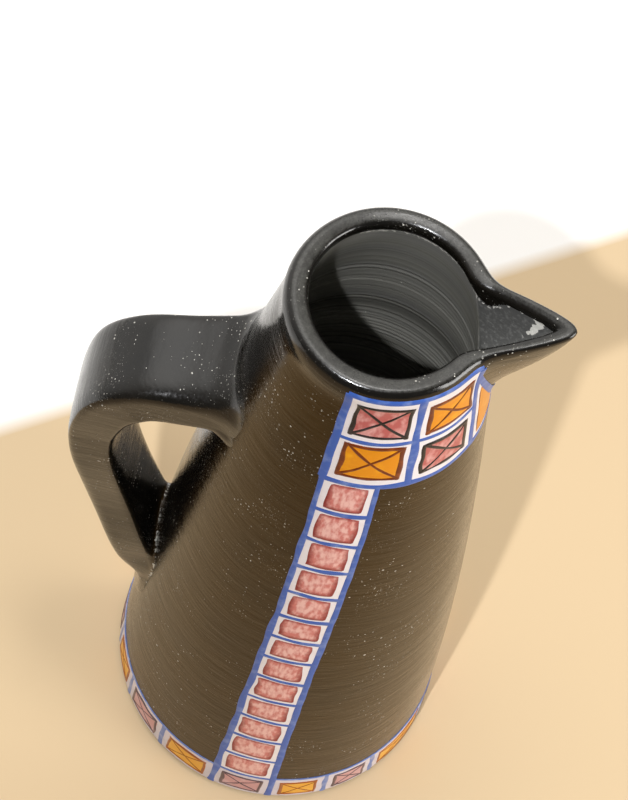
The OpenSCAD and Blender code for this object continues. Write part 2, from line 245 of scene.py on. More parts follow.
def smoothed(values, rounds):
    """A row of values, evened out between its ends."""
    for _ in range(rounds):
        values[1:-1] = (values[:-2] + 2 * values[1:-1] + values[2:]) / 4
    return values


def from_table(table, at):
    """Values read off a table of places and values."""
    return np.interp(at, *zip(*table))


def spout_u(x):
    """Way along the spout, from 0 at its tip to 1 at the rim's middle circle."""
    return np.clip((TIP_X - x) / (TIP_X - ROOT_X), 1e-4, None)


def lip_top(x):
    """Height of the lip's top, which climbs along the spout to its tip."""
    return JUG_H + TIP_RISE * (1 - np.minimum(1, spout_u(x)))


def lip_height(x):
    """Height of the lip's outer rounding, which gets less along the spout."""
    return LIP_TIP_H + (LIP_OUT_H - LIP_TIP_H) * np.minimum(1, spout_u(x)) ** 2


def beak_size(u):
    """Half-width and depth of the spout's outside, whose tip is blunt."""
    blunt = TIP_BLUNT * (1 - np.exp(-u / TIP_BLUNT_RISE)) * np.exp(-u / TIP_BLUNT_FALL)
    return SPOUT_W / 2 * u ** LIP_CURVE + blunt, KEEL_DEPTH * np.minimum(1, u) ** KEEL_CURVE


def trough_size(u):
    """Half-width and depth of the spout's trough."""
    end = (2 * SPOUT_LIP / SPOUT_W) ** (1 / LIP_CURVE)
    depth = TROUGH_DEPTH * np.clip((u - end) / (1 - end), 0, 1) ** TROUGH_CURVE
    return SPOUT_W / 2 * u ** LIP_CURVE - SPOUT_LIP, depth


def reach(az, z, size, power):
    """Farthest radius inside the beak or its trough, at an azimuth and a height."""
    az, z = np.broadcast_arrays(np.asarray(az, float), np.asarray(z, float))
    cos, sin = np.cos(np.radians(az)), np.abs(np.sin(np.radians(az)))
    low, high = np.zeros_like(z), np.full_like(z, TIP_X + WALL)
    for _ in range(HALVINGS):
        mid = (low + high) / 2
        half, depth = size(spout_u(mid * cos))
        fall = np.clip(lip_top(mid * cos) - z, 0, None)
        half_safe, depth_safe = np.maximum(half, 1e-3), np.maximum(depth, 1e-3)
        inside = (mid * sin / half_safe) ** power + (fall / depth_safe) ** power < 1
        inside &= half > 0
        low, high = np.where(inside, mid, low), np.where(inside, high, mid)
    return np.where(abs(az) < BEAK_REACH_AZ, low, 0)


def slow_waves(az, z):
    """Broad unevenness of hand-thrown clay, closed round the jug."""
    draw = np.random.default_rng(CLAY_SEED)
    total = np.zeros(np.broadcast(az, z).shape)
    for turns in WAVE_TURNS:
        rise = draw.uniform(-WAVE_RISE, WAVE_RISE)
        total += draw.normal() * np.cos(np.radians(turns * az) + rise * z + draw.uniform(0, 2 * np.pi))
    return CLAY_WAVES * total / 3


def outer_r(az, z):
    """Radius of the jug's outside, with the spout drawn out of it."""
    turn = np.radians(az)
    off_round = RIM_SHIFT[0] * np.cos(turn) + RIM_SHIFT[1] * np.sin(turn)
    bulge = (RIM_BULGE + off_round) * np.exp(-((z - RIM_SEAT) / RIM_BULGE_H) ** 2)
    beak = reach(az, z, beak_size, KEEL_POWER)
    return smooth_max(wall_r(z) + bulge, beak, SPOUT_FILLET) + slow_waves(az, z)


def groove_heights():
    """Heights of the finger grooves: those in view, and looser ones further down."""
    draw = np.random.default_rng(5)
    return np.append(GROOVES_Z, GROOVES_Z[-1] - np.cumsum(draw.uniform(*LOOSE_GAP, LOOSE_GROOVES)))


def throwing_rings(az, z):
    """Fine finger grooves down the bore, each with a ridge above it, on slow swells."""
    draw = np.random.default_rng(6)
    total = np.zeros(np.broadcast(az, z).shape)
    for height in groove_heights():
        level = height + draw.normal(0, GROOVE_DRIFT) * np.cos(np.radians(az + draw.uniform(0, 360)))
        depth = GROOVE_DEPTH * draw.uniform(*GROOVE_SPREAD)
        total += depth * np.exp(-((z - level) / GROOVE_W) ** 2)
        total -= RIDGE_SHARE * depth * np.exp(-((z - level - RIDGE_UP) / GROOVE_W) ** 2)
    swell = sum(size * np.sin(z / length + phase) for size, length, phase in SWELLS)
    return total + swell * ease((GLAZE_LINE_Z - SWELL_DROP - z) / SWELL_FADE)


def inner_r(az, z):
    """Radius of the jug's inside, with the spout's trough cut out of it."""
    over = z - GLAZE_LINE_Z
    bead = GLAZE_BEAD * ease(over / GLAZE_BEAD_H) + RIM_ROLL_IN * ease(over / RIM_ROLL_IN_H)
    bore = wall_r(z) - WALL - bead + throwing_rings(az, z)
    return smooth_max(bore, reach(az, z, trough_size, TROUGH_POWER), THROAT_FILLET)


# Meshes from grids of points

def grid_normals(points):
    """Normals of a grid of points, for rows that run up and columns that run right round."""
    round_ = np.roll(points, -1, 1) - np.roll(points, 1, 1)
    normals = np.cross(round_, np.gradient(points, axis=0))
    return normals / np.maximum(np.linalg.norm(normals, axis=2, keepdims=True), 1e-12)


def face_normal(ring):
    """Normal of a flat ring of points."""
    normal = np.cross(ring, np.roll(ring, -1, 0)).sum(0)
    return normal / max(np.linalg.norm(normal), 1e-12)


def dress(obj, materials, node):
    """Gives a new piece its finishes, hides its CAD node and hangs it under the root body."""
    for material in materials:
        obj.data.materials.append(material)
    bpy.context.scene.collection.objects.link(obj)
    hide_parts(node)
    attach(obj, "root")


def add_mark(mesh, name, values):
    """Gives each point of a mesh a value for the finishes."""
    mark = mesh.attributes.new(name, "FLOAT", "POINT")
    mark.data.foreach_set("value", values.astype(np.float32))


def grid_piece(name, points, keep, caps, normals, marks, finish=None):
    """A closed mesh of the kept quads of a grid, with caps given as rings of grid places.

    Marks are named grids of values for the finishes, and finish is the number of each quad's finish.
    """
    cols = points.shape[1]
    i, j = np.nonzero(keep)
    over = (j + 1) % cols
    quads = np.stack([i * cols + j, i * cols + over, (i + 1) * cols + over, (i + 1) * cols + j], 1)
    flat, normals = points.reshape(-1, 3), normals.reshape(-1, 3)
    faces = quads.tolist() + [list(c) for c in caps]
    used = np.unique(np.concatenate([quads.ravel()] + [np.asarray(c) for c in caps]).astype(int))
    renumber = np.zeros(len(flat), int)
    renumber[used] = np.arange(len(used))
    mesh = bpy.data.meshes.new(name)
    mesh.from_pydata((flat[used] * MM).tolist(), [], [renumber[f].tolist() for f in faces], shade_flat=False)
    loops = [normals[quads.ravel()]]
    for cap in caps:
        loops.append(np.tile(face_normal(flat[cap]), (len(cap), 1)))
    mesh.normals_split_custom_set(np.concatenate(loops).tolist())
    for key, values in marks.items():
        add_mark(mesh, key, values.ravel()[used])
    if finish is not None:
        index = np.append(finish[keep], np.zeros(len(caps)))
        mesh.polygons.foreach_set("material_index", index.astype(np.int32))
    return bpy.data.objects.new(name, mesh)


# The thrown body, its rim and its spout are one skin, cut into three closed pieces

def column_azimuths():
    """Azimuths of the skin's columns, crowded towards the spout."""
    t = np.linspace(-1, 1, COLUMNS, endpoint=False)
    return 180 * (COLUMN_SPREAD * t + (1 - COLUMN_SPREAD) * t ** 3)


def spread(first, last, rows, **ends):
    """Values for a number of rows, as a column."""
    return np.linspace(first, last, rows, **ends)[:, None]


def clay_skin(az):
    """Rows of the skin from the base's middle, up the outside, over the lip and down to the floor.

    Returns the points and the first row of each stretch.
    """
    turn = np.radians(az)
    edge_out = np.full_like(az, JUG_H - LIP_OUT_H)
    edge_in = edge_out.copy()
    for _ in range(4):
        lip_out, lip_in = outer_r(az, edge_out), inner_r(az, edge_in)
        out_h = lip_height(lip_out * np.cos(turn))
        edge_out = lip_top(lip_out * np.cos(turn)) - out_h
        edge_in = lip_top(lip_in * np.cos(turn)) - LIP_IN_H - LIP_SLOPE
    radii, heights, starts = [], [], {}

    def stretch(name, r, z):
        starts[name] = sum(len(h) for h in heights)
        radii.append(np.broadcast_to(r, np.broadcast(r, z, az).shape))
        heights.append(np.broadcast_to(z, np.broadcast(r, z, az).shape))

    foot_r = wall_r(FOOT_EASE)
    ring_r = foot_r - BASE_RING_W
    base = np.concatenate([[[CENTRE_R]], spread(BASE_MIDDLE_R, ring_r - BASE_STEP_W, rows=6),
                           spread(ring_r, foot_r - FOOT_EASE, rows=4)])
    stretch("base", base, BASE_RECESS * ease((ring_r - base) / BASE_STEP_W))
    corner = np.radians(spread(*FOOT_CORNER, rows=4))
    stretch("foot", foot_r - FOOT_EASE * (1 - np.cos(corner)), FOOT_EASE * (1 + np.sin(corner)))
    low = spread(FOOT_EASE, NECK_Z, rows=76, endpoint=False)
    stretch("side", outer_r(az, low), low)
    high = NECK_Z + spread(0, 1, rows=46) * (edge_out - NECK_Z)
    stretch("neck", outer_r(az, high), high)
    over = np.radians(spread(0, 180, rows=25)[1:-1])
    outside = np.cos(over) > 0
    power = np.where(outside, LIP_OUT_POWER, LIP_IN_POWER)
    swing = np.sign(np.cos(over)) * abs(np.cos(over)) ** (2 / power)
    lip_r = (lip_out + lip_in) / 2 + (lip_out - lip_in) / 2 * swing
    lip_z = lip_top(lip_r * np.cos(turn)) - LIP_SLOPE * (1 - swing) / 2
    lip_z = lip_z - np.where(outside, out_h, LIP_IN_H) * (1 - np.sin(over) ** (2 / power))
    stretch("lip", lip_r, lip_z)
    high = NECK_Z + spread(1, 0, rows=84) * (edge_in - NECK_Z)
    stretch("throat", inner_r(az, high), high)
    fillet_z = FLOOR_T + FLOOR_FILLET
    deep = np.concatenate([np.arange(NECK_Z - BORE_STEP, GROOVES_END, -BORE_STEP)[:, None],
                           spread(GROOVES_END - 0.5, fillet_z, rows=90)])
    stretch("bore", inner_r(az, deep), deep)
    inner_floor = wall_r(fillet_z) - WALL - FLOOR_FILLET
    corner = np.radians(spread(0, 90, rows=9)[1:])
    stretch("fillet", inner_floor + FLOOR_FILLET * np.cos(corner), fillet_z - FLOOR_FILLET * np.sin(corner))
    floor = np.concatenate([spread(inner_floor, FLOOR_MIDDLE_R, rows=9)[1:], [[CENTRE_R]]])
    stretch("floor", floor, np.full_like(floor, FLOOR_T))
    radius, height = np.concatenate(radii), np.concatenate(heights)
    return np.stack([radius * np.cos(turn), radius * np.sin(turn), height], 2), starts


def clay_marks(points, normals, az, starts):
    """Values for the finishes over the skin, and the number of each quad's finish."""
    x, y, z = np.moveaxis(points, -1, 0)
    row = np.arange(len(points))[:, None]
    outside = row < starts["lip"]
    within = row >= starts["throat"]
    along = np.minimum(1, spout_u(x))
    drop = GLAZE_DROP - TROUGH_DROP_LESS * ease((1 - along) / TROUGH_DROP_WAY)
    below = lip_top(x) - drop - z
    outward = np.hypot(x, y) - wall_r(z) + WALL
    trough = within * ease((outward - TROUGH_OUT) / TROUGH_OUT_FADE)
    trough = trough * ease((THROAT_AZ - abs(az)) / THROAT_AZ_FADE)
    # Blisters along the glaze line, also painted glints, and a pale patch in the trough
    line = np.exp(-((below - FLECK_W / 2) / FLECK_W) ** 2) * (1 - TROUGH_FLECKS * trough)
    off = [(points[..., k] - PATCH_AT[k]) / PATCH_SIZE[k] for k in (0, 1)]
    patch = PATCH_LEVEL * np.exp(-(off[0] ** 2 + off[1] ** 2))
    # Painted shade: the brown share falls away below the rim's top and beside the handle
    brown = ease((RIM_SEAT - RIM_SHADE_H - z) / RIM_SHADE_FADE) * ease((HANDLE_SHADE_AZ - abs(az)) / HANDLE_SHADE_AZ_FADE)
    # Painted reflection and rubbing: the lip's tops that face up are marked paler
    marks = {"wear_and_sheen": ~outside * ~within * ease((normals[..., 2] - WEAR_AND_SHEEN_TILT) / WEAR_AND_SHEEN_FADE),
             "fleck_and_glint": within * np.maximum(line, patch),
             "trough": trough,
             # Painted shade: darker in the bore's finger grooves
             "groove_shade": within * np.clip(throwing_rings(az, z) / GROOVE_DEPTH, 0, 1),
             "brown": outside * brown}
    finish = np.select([within & (below > 0), row < starts["foot"], outside], [SATIN, BARE, THIN], GLAZED)
    return marks, finish[:-1]


def clay_pieces(materials):
    """The body, the rim and the spout, cut from the skin and closed with flat faces."""
    az = column_azimuths()
    points, starts = clay_skin(az)
    rows, cols = points.shape[:2]
    height = points[:, 0, 2]
    neck = np.arange(starts["neck"], starts["lip"])
    throat = np.arange(starts["throat"], starts["bore"])

    def row_at(span, z):
        return int(span[np.argmin(abs(height[span] - z))])

    seat_out, seat_in = seat = row_at(neck, RIM_SEAT - 0.5), row_at(throat, GLAZE_LINE_Z)
    foot_out, foot_in = foot = row_at(neck, SPOUT_FOOT_Z), row_at(throat, THROAT_Z)
    first, last = np.flatnonzero(abs(az) <= SPOUT_AZ)[[0, -1]]
    at = np.arange(rows)[:-1, None]
    beside = (np.arange(cols) >= first) & (np.arange(cols) < last)
    spout = (at >= foot_out) & (at < foot_in) & beside
    rim = (at >= seat_out) & (at < seat_in) & ~beside

    def strip(low, high, columns):
        """Flat faces through the wall, from an outer row to an inner one, seen from below."""
        return [[low * cols + c, high * cols + c, high * cols + (c + 1) % cols, low * cols + (c + 1) % cols]
                for c in columns]

    def cut(column, *spans):
        """The flat cut through the wall at a column, over spans of rows."""
        return [r * cols + column for low, high in spans for r in range(low, high + 1)]

    under_rim, under_spout = strip(*seat, np.flatnonzero(~beside)), strip(*foot, np.flatnonzero(beside))
    rim_caps = under_rim + [cut(last, seat), cut(first, seat)[::-1]]
    spout_caps = under_spout + [cut(first, foot), cut(last, foot)[::-1]]
    flanks = (foot_out, seat_out), (seat_in, foot_in)
    body_caps = [c[::-1] for c in under_rim + under_spout]
    body_caps += [cut(first, *flanks)[::-1], cut(last, *flanks)]
    body_caps += [list(range(cols))[::-1], list(range((rows - 1) * cols, rows * cols))]
    normals = grid_normals(points)
    marks, finish = clay_marks(points, normals, az, starts)
    for name, keep, caps, node in (("body_clay", ~spout & ~rim, body_caps, "thrown_body"),
                                   ("rim_clay", rim, rim_caps, "rim_roll"),
                                   ("spout_clay", spout, spout_caps, "pouring_spout")):
        dress(grid_piece(name, points, keep, caps, normals, marks, finish), materials, node)


# The handle

def wobble(n, waves, size):
    """A smooth random row of n values, about a size from zero."""
    t = np.linspace(0, 1, n)
    total = np.zeros(n)
    for _ in range(4):
        total += rng.normal() * np.sin(2 * np.pi * rng.uniform(0.3, waves) * t + rng.uniform(0, 2 * np.pi))
    return size * total / 2


def side_wobbles(left, waves, size):
    """Two wobbles along the handle, one for its left side and one for the other."""
    return np.where(left, wobble(STATIONS, waves, size)[:, None], wobble(STATIONS, waves, size)[:, None])


def handle_line(s):
    """Middle line of the strap, read off the CAD strap's side, at shares of its length.

    Past 1, the strap's end, it follows the body's side and sinks into it.
    """
    points = cad_points("handle_strap")
    side = points[points[:, 1] > STRAP_HALF_W - 0.02][:, [0, 2]]
    side = side[np.argsort(-side[:, 1])]
    side = side[side[:, 1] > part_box("handle_lower_tail")[1].z / MM + TUCK]
    side = side[np.append(True, np.linalg.norm(np.diff(side, axis=0), axis=1) > 0.5)]
    start = side[0] + BURIED_SHARE * (side[0] - side[1])
    line = np.vstack([start, side])
    way = np.append(0, np.cumsum(np.linalg.norm(np.diff(line, axis=0), axis=1)))
    on = np.linspace(0, 1, 20)[1:]
    run_z = side[-1, 1] - TAIL_SHARE * way[-1] * on
    stand = -side[-1, 0] - wall_r(side[-1, 1]) - TAIL_SINK * (1 - (1 - on) ** TAIL_POWER)
    line = np.vstack([line, np.stack([-wall_r(run_z) - stand, run_z], 1)])
    way = np.append(way, way[-1] * (1 + TAIL_SHARE * on))
    line = np.stack([np.interp(s * way[len(side)], way, line[:, k]) for k in (0, 1)], 1)
    return smoothed(line, LINE_ROUNDS)


def body_gap(points):
    """Distance of points from the plain side of the body, negative inside it."""
    x, y, z = np.moveaxis(points, -1, 0)
    slope = np.polyval(np.polyder(SIDE), z)
    side = wall_r(z) + slow_waves(np.degrees(np.arctan2(y, x)), z)
    return (np.hypot(x, y) - side) / np.hypot(1, slope)


def run_into_body(points, width):
    """Pushes a skin out along its normals, so that it meets the body in a hollow curve of a width."""
    normals = grid_normals(points)
    tries = np.linspace(0, 1, PUSH_TRIES)[:, None, None] * width
    gap = body_gap(points + tries[..., None] * normals) + SKIRT_SINK
    lap = np.clip(1 - abs(tries - gap) / width, 0, None)
    clear = np.minimum(tries, gap) - lap ** 2 * width / 4
    after = np.maximum((clear >= 0).argmax(0), 1)[None]
    late, early = (np.take_along_axis(clear, k, 0)[0] for k in (after, after - 1))
    share = np.clip(-early / np.maximum(late - early, 1e-6), 0, 1)
    push = np.where((clear >= 0).any(0), (after[0] - 1 + share) * (tries[1] - tries[0])[0], width)
    for _ in range(PUSH_ROUNDS):
        push = smoothed(push, 1)
        push = (np.roll(push, 1, 1) + 2 * push + np.roll(push, -1, 1)) / 4
    points = points + push[..., None] * normals
    deep = np.clip(-body_gap(points) - TUCK, 0, None)
    radius = np.hypot(points[..., 0], points[..., 1])
    points[..., :2] *= (1 + deep / radius)[..., None]
    return points


def join_normals(points):
    """Normals of a skin, turned to the body's where the two run together."""
    x, y, z = np.moveaxis(points, -1, 0)
    radius = np.maximum(np.hypot(x, y), 1e-6)
    body = np.stack([x / radius, y / radius, -np.polyval(np.polyder(SIDE), z)], 2)
    body /= np.linalg.norm(body, axis=2, keepdims=True)
    share = ease(1 - body_gap(points) / JOIN_FADE)[..., None]
    mixed = (1 - share) * grid_normals(points) + share * body
    return mixed / np.linalg.norm(mixed, axis=2, keepdims=True)


def handle_pieces(materials):
    """The clay pressed into the upper joint, the strap and its smeared tail, cut from one run of sections."""
    t = np.linspace(0, 1, STATIONS)
    s = TAIL_END * (STATION_EVEN * t + (1 - STATION_EVEN) * (0.5 - 0.5 * np.cos(np.pi * t)))
    line = handle_line(s)
    ahead = np.gradient(line, axis=0)
    across = np.stack([ahead[:, 1], -ahead[:, 0]], 1)
    across *= np.sign(across[0, 1]) / np.linalg.norm(across, axis=1, keepdims=True)
    stand = -line[:, 0] - wall_r(line[:, 1])
    thick, out = (smoothed(from_table(table, s), STRAP_ROUNDS)[:, None] for table in (STRAP_THICK, STRAP_OUT))
    widen, lean = (from_table(table, s)[:, None] for table in (STRAP_WIDEN, STRAP_LEAN))
    angle = -2 * np.pi * np.arange(SECTION) / SECTION
    cos, sin = np.cos(angle), np.sin(angle)
    wavy = EDGE_ROUNDING * np.clip(1 + EDGE_WAVES * side_wobbles(cos < 0, 5, 1), *EDGE_RANGE)
    corner = np.where((cos < 0) & (sin > 0), wavy, EDGE_SHARP)
    corner = corner + (TAIL_ROUNDING - corner) * ease((s - TAIL_ROUND_FROM) / TAIL_SHARE)[:, None]
    side = np.sign(cos) * abs(cos) ** corner
    up = np.sign(sin) * abs(sin) ** corner
    shift = side_wobbles(side < 0, 6, STRAP_WAVES) + widen
    y = side * (STRAP_HALF_W + shift) * (1 - SIDE_HOLLOW * np.clip(1 - up ** 2, 0, 1)) + lean
    lift = up * thick / 2 + STRAP_CROWN * (1 - side ** 2) * np.sign(up) + out
    points = np.stack([line[:, :1] + lift * across[:, :1], y, line[:, 1:] + lift * across[:, 1:]], 2)
    lower = ease((s - ARM_END) / (LEG_START - ARM_END))[:, None]
    upper = UNDER_FILLET + (TOP_FILLET - UNDER_FILLET) * ease(0.5 + up)
    under = LOWER_FILLET + (TAIL_FILLET - LOWER_FILLET) * ease((s - TAIL_FILLET_FROM) / RUN_IN)[:, None]
    points = run_into_body(points, upper + (under - upper) * lower)
    normals = join_normals(points)
    gap = body_gap(points)
    # Painted highlight: glints painted along the seam under the leg, near the body
    crevice_glints = np.exp(-(gap / CREVICE_GLINT_W) ** 2) * (up < 0) * ease((s - CREVICE_GLINT_FROM) / RUN_IN)[:, None]
    marks = {"fleck_and_glint": CREVICE_GLINTS * crevice_glints,
             "brown": ease(1 - gap / BROWN_FADE) * (s > LEG_START)[:, None]}
    rows, cols = points.shape[:2]
    at = np.arange(rows - 1)[:, None] * np.ones(cols, int)

    def ring(row):
        return [row * cols + c for c in range(cols)]

    ends = 0, int(np.argmax(stand > JOIN_STAND)), int(np.argmax(s > 1)), rows - 1
    pieces = {"handle_join_clay": "handle_upper_join", "handle_strap_clay": "handle_strap",
              "handle_tail_clay": "handle_lower_tail"}
    for (name, node), first, last in zip(pieces.items(), ends, ends[1:]):
        caps = [ring(first)[::-1], ring(last)]
        piece = grid_piece(name, points, (at >= first) & (at < last), caps, normals, marks)
        dress(piece, materials, node)


# Painted coats: lifts above the clay, and how the edges thin: by what share, over what width and how far in
GROUND_T = 0.16
COLOUR_T = 0.26
STROKE_T = 0.36
LAYER = 0.01
EDGE_T = 0.02
COAT_SINK = 0.1
PATCH_EDGE = (0.5, 0.25, 0.9)
STROKE_EDGE = (0.6, 0.15, 0.5)
SHARP_ANGLE = 50
STROKE_POINTS = 7
DRIFT_WAY = 14
WIDTH_WAY = 9
PATCH_WAVES = 1.6


def on_side(az, z, lift):
    """Points on the jug's outside, drawn in over the lip's rounding and raised by a lift."""
    rise = np.clip((z - JUG_H + LIP_OUT_H) / LIP_OUT_H, 0, 1)
    radius = outer_r(az, z) - LIP_HALF * (1 - np.sqrt(1 - rise ** 2)) + lift
    turn = np.radians(az)
    return np.stack([radius * np.cos(turn), radius * np.sin(turn), z], 2)


def sheet(az, z, lift, mark):
    """Upper and lower points of a coat, and the mark that tells how far they are from its edge."""
    lift, sink = np.broadcast_to(lift, z.shape), np.full(z.shape, -COAT_SINK)
    return on_side(az, z, lift), on_side(az, z, sink), mark


def thinned(top, mark, share, width, end):
    """Lift of a coat that gets thinner at its edge."""
    return top - share * (top - EDGE_T) * np.exp(-mark / width) * (mark < end)


def slab(name, sheets):
    """Closed thin solids between the upper and lower points of sheets."""
    verts, faces, marks = [], [], []
    for top, under, mark in sheets:
        rows, cols = top.shape[:2]
        start = sum(len(v) for v in verts)
        count = rows * cols
        place = start + np.arange(count).reshape(rows, cols)
        quad = np.stack([place[:-1, :-1], place[:-1, 1:], place[1:, 1:], place[1:, :-1]], 2).reshape(-1, 4)
        rim = np.concatenate([place[0, :-1], place[:-1, -1], place[-1, :0:-1], place[:0:-1, 0]])
        after = np.roll(rim, -1)
        walls = np.stack([rim, rim + count, after + count, after], 1)
        facing = np.cross(top[0, 1] - top[0, 0], top[1, 0] - top[0, 0]) @ (top[0, 0] - under[0, 0])
        pack = np.concatenate([quad, quad[:, ::-1] + count, walls])
        verts += [top.reshape(-1, 3), under.reshape(-1, 3)]
        faces.append(pack if facing > 0 else pack[:, ::-1])
        marks += [mark.ravel(), mark.ravel()]
    mesh = bpy.data.meshes.new(name)
    verts, faces = np.concatenate(verts) * MM, np.concatenate(faces)
    mesh.from_pydata(verts.tolist(), [], faces.tolist(), shade_flat=False)
    add_mark(mesh, "edge", np.concatenate(marks))
    mesh.set_sharp_from_angle(angle=math.radians(SHARP_ANGLE))
    return bpy.data.objects.new(name, mesh)


def coat(node, draw, finish, name):
    """One painted coat, drawn for the camera's side and for the far side, in place of its CAD node."""
    dress(slab(node + "_paint", draw(1) + draw(-1)), [finish[name]], node)


def degrees_of(width, z):
    """Turn taken by a width along the side at a height."""
    return np.degrees(width / wall_r(z))


def filled(left, right, low, high, top, shake=0.25, rounding=0.0, step=1.0, pool=0.0):
    """A patch between two azimuths and two heights, each a number or a pair for its two ends.

    A pool makes the colour stronger towards the lower edge, where wet colour gathers.
    """
    left, right, low, high = (np.broadcast_to(v, 2).astype(float) for v in (left, right, low, high))
    mid_z = (low.mean() + high.mean()) / 2
    wide = abs(right.mean() - left.mean()) * math.radians(1) * wall_r(mid_z)
    tall = high.mean() - low.mean()
    rows, cols = (max(6, int(size / step) + 1) for size in (tall, wide))
    u, v = np.linspace(-1, 1, cols)[None, :], np.linspace(-1, 1, rows)[:, None]
    across = (u * np.sqrt(1 - rounding * v ** 2 / 2) + 1) / 2
    upward = (v * np.sqrt(1 - rounding * u ** 2 / 2) + 1) / 2
    shift = degrees_of(shake, mid_z)
    a0 = left[0] + (left[1] - left[0]) * upward + wobble(rows, PATCH_WAVES, shift)[:, None]
    a1 = right[0] + (right[1] - right[0]) * upward + wobble(rows, PATCH_WAVES, shift)[:, None]
    z0 = low[0] + (low[1] - low[0]) * across + wobble(cols, PATCH_WAVES, shake)[None, :]
    z1 = high[0] + (high[1] - high[0]) * across + wobble(cols, PATCH_WAVES, shake)[None, :]
    az, z = a0 + (a1 - a0) * across, z0 + (z1 - z0) * upward
    mark = np.minimum((1 - abs(u)) * wide / 2, (1 - abs(v)) * tall / 2)
    return sheet(az, z, thinned(top, mark, *PATCH_EDGE), mark - pool * (1 - v) / 2)


def stroke(path, width, top, shake=0.12, uneven=0.16):
    """A brush stroke along a path of azimuths and heights."""
    path = np.asarray(path, float)
    scale = np.radians(1) * wall_r(path[:, 1].mean())
    legs = np.hypot(np.diff(path[:, 0]) * scale, np.diff(path[:, 1]))
    way = np.append(0, np.cumsum(legs))
    n = max(8, int(way[-1]))
    t = np.linspace(0, way[-1], n)
    az, z = np.interp(t, way, path[:, 0]), np.interp(t, way, path[:, 1])
    da, dz = np.gradient(az) * scale, np.gradient(z)
    length = np.maximum(np.hypot(da, dz), 1e-9)
    side_a, side_z = -dz / length / scale, da / length
    drift = wobble(n, max(2, way[-1] / DRIFT_WAY), shake)[:, None]
    half = width / 2 * (1 + wobble(n, max(2, way[-1] / WIDTH_WAY), uneven))[:, None]
    q = np.linspace(-1, 1, STROKE_POINTS)
    az = az[:, None] + side_a[:, None] * (drift + half * q)
    z = z[:, None] + side_z[:, None] * (drift + half * q)
    mark = half * (1 - abs(q))
    return sheet(az, z, thinned(top, mark, *STROKE_EDGE), mark)


# Places of the painting, on the side that the camera sees
TOP_LINE_Z = 246.3
FAR_TOP_DROP = 1.0
MID_LINE_Z = 226.2
LOW_LINE_Z = 206.1
COLLAR_BARS = (-101.8, -62.6, -25.2)
FOOT_LOW_Z = 1.2
FOOT_TOP_Z = 15.0
RAILS = {
    "left": ((FOOT_LOW_Z, -103.8), (58, -102.2), (104, -101.3), (140, -100.4), (175, -100.6),
             (LOW_LINE_Z, -101.8)),
    "right": ((FOOT_LOW_Z, -82.5), (45, -82.6), (98, -81.1), (140, -78.6), (180, -76.3),
              (LOW_LINE_Z, -75.9)),
}
RUNG_Z = (FOOT_TOP_Z, 29.3, 44.5, 59.5, 74.1, 89.0, 102.8, 116.2, 129.7, 144.3, 159.6, 174.8, 190.6,
          LOW_LINE_Z)
CELLS = tuple(zip(RUNG_Z[:-1], RUNG_Z[1:]))
LADDER_BARS = (82.5, 103.9)
FOOT_BARS = (14.5, 43.5, 62.5, *LADDER_BARS, 127.0, 149.0, 169.7)

# Edges of the crossed boxes in the collar: left, right, low, high
COLLAR_BOXES = {
    "pink": ((-97.4, -66.6, 228.6, 242.9), (-57.8, -30.4, 209.5, 223.4)),
    "yellow": ((-97.2, -66.8, 209.4, 224.7), (-57.7, -28.6, 228.3, 241.7)),
}

# Widths and margins of the painting
LINE_W = 2.2
RAIL_W = {"left": LINE_W * 0.84, "right": LINE_W * 0.85}
RUNG_W = (1.3, 2.5)
RUNG_SPREAD = (0.85, 1.15)
BOX_INSET = {"left": (1.7, 2.2), "right": (1.8, 2.3), "low": (1.4, 1.7), "high": (0.9, 1.2)}
BOX_POOL = 0.9
TILT = 0.25
OUTLINE_W = 1.25
OUTLINE_SPREAD = (0.9, 1.3)
CROSS_W = 1.1
THIN_W = 0.35
OVERSHOOT = 1.5
SEAM_AZ = -0.3
SPOUT_BOX_IN = 4.6
SPOUT_BOX_END = -2.5
SPOUT_BOX_UP = 2.6
SPOUT_BOX_DROP = 4.5
SPOUT_LINE_IN = 0.2
SPOUT_LINE_AZ = (-12.0, -3.0)
SPOUT_MARGIN = 0.6
CELL_ROWS = 30
FOOT_MARGINS = (2.7, 1.6, 2.3)
FOOT_OUTLINE_W = 1.0
FOOT_CROSS_W = 0.7


def turned(side, *path):
    """A path on the camera's side, or its mirror image on the far side."""
    return [(side * az, z) for az, z in path]


def outlined(left, right, low, high, outline=OUTLINE_W, cross=CROSS_W):
    """The outline of a box and two strokes that cross in it."""
    jitter = lambda: rng.normal(0, TILT)
    heavy = lambda: outline * rng.uniform(*OUTLINE_SPREAD)
    pad = degrees_of(outline / 2, (low + high) / 2) * np.sign(right - left)
    l, r, b, t = left + pad, right - pad, low + outline / 2, high - outline / 2
    sides = (((l, low), (l, high)), ((r, low), (r, high)), ((l, b), (r, b)), ((l, t), (r, t)))
    made = [stroke(ends, heavy(), STROKE_T + k * LAYER) for k, ends in enumerate(sides)]
    for k, (z0, z1) in enumerate(((b, t), (t, b)), len(sides)):
        made.append(stroke([(l, z0 + jitter()), (r, z1 + jitter())], cross, STROKE_T + k * LAYER))
    return made


def junction_z(az):
    """Height at which the spout starts to stand out from the neck, at an azimuth."""
    heights = np.linspace(SPOUT_FOOT_Z - 2, JUG_H - LIP_OUT_H, 160)[:, None]
    out = reach(np.asarray(az)[None, :], heights, beak_size, KEEL_POWER) > wall_r(heights) - SPOUT_MARGIN
    return np.where(out.any(0), heights[np.argmax(out, 0), 0], TOP_LINE_Z)


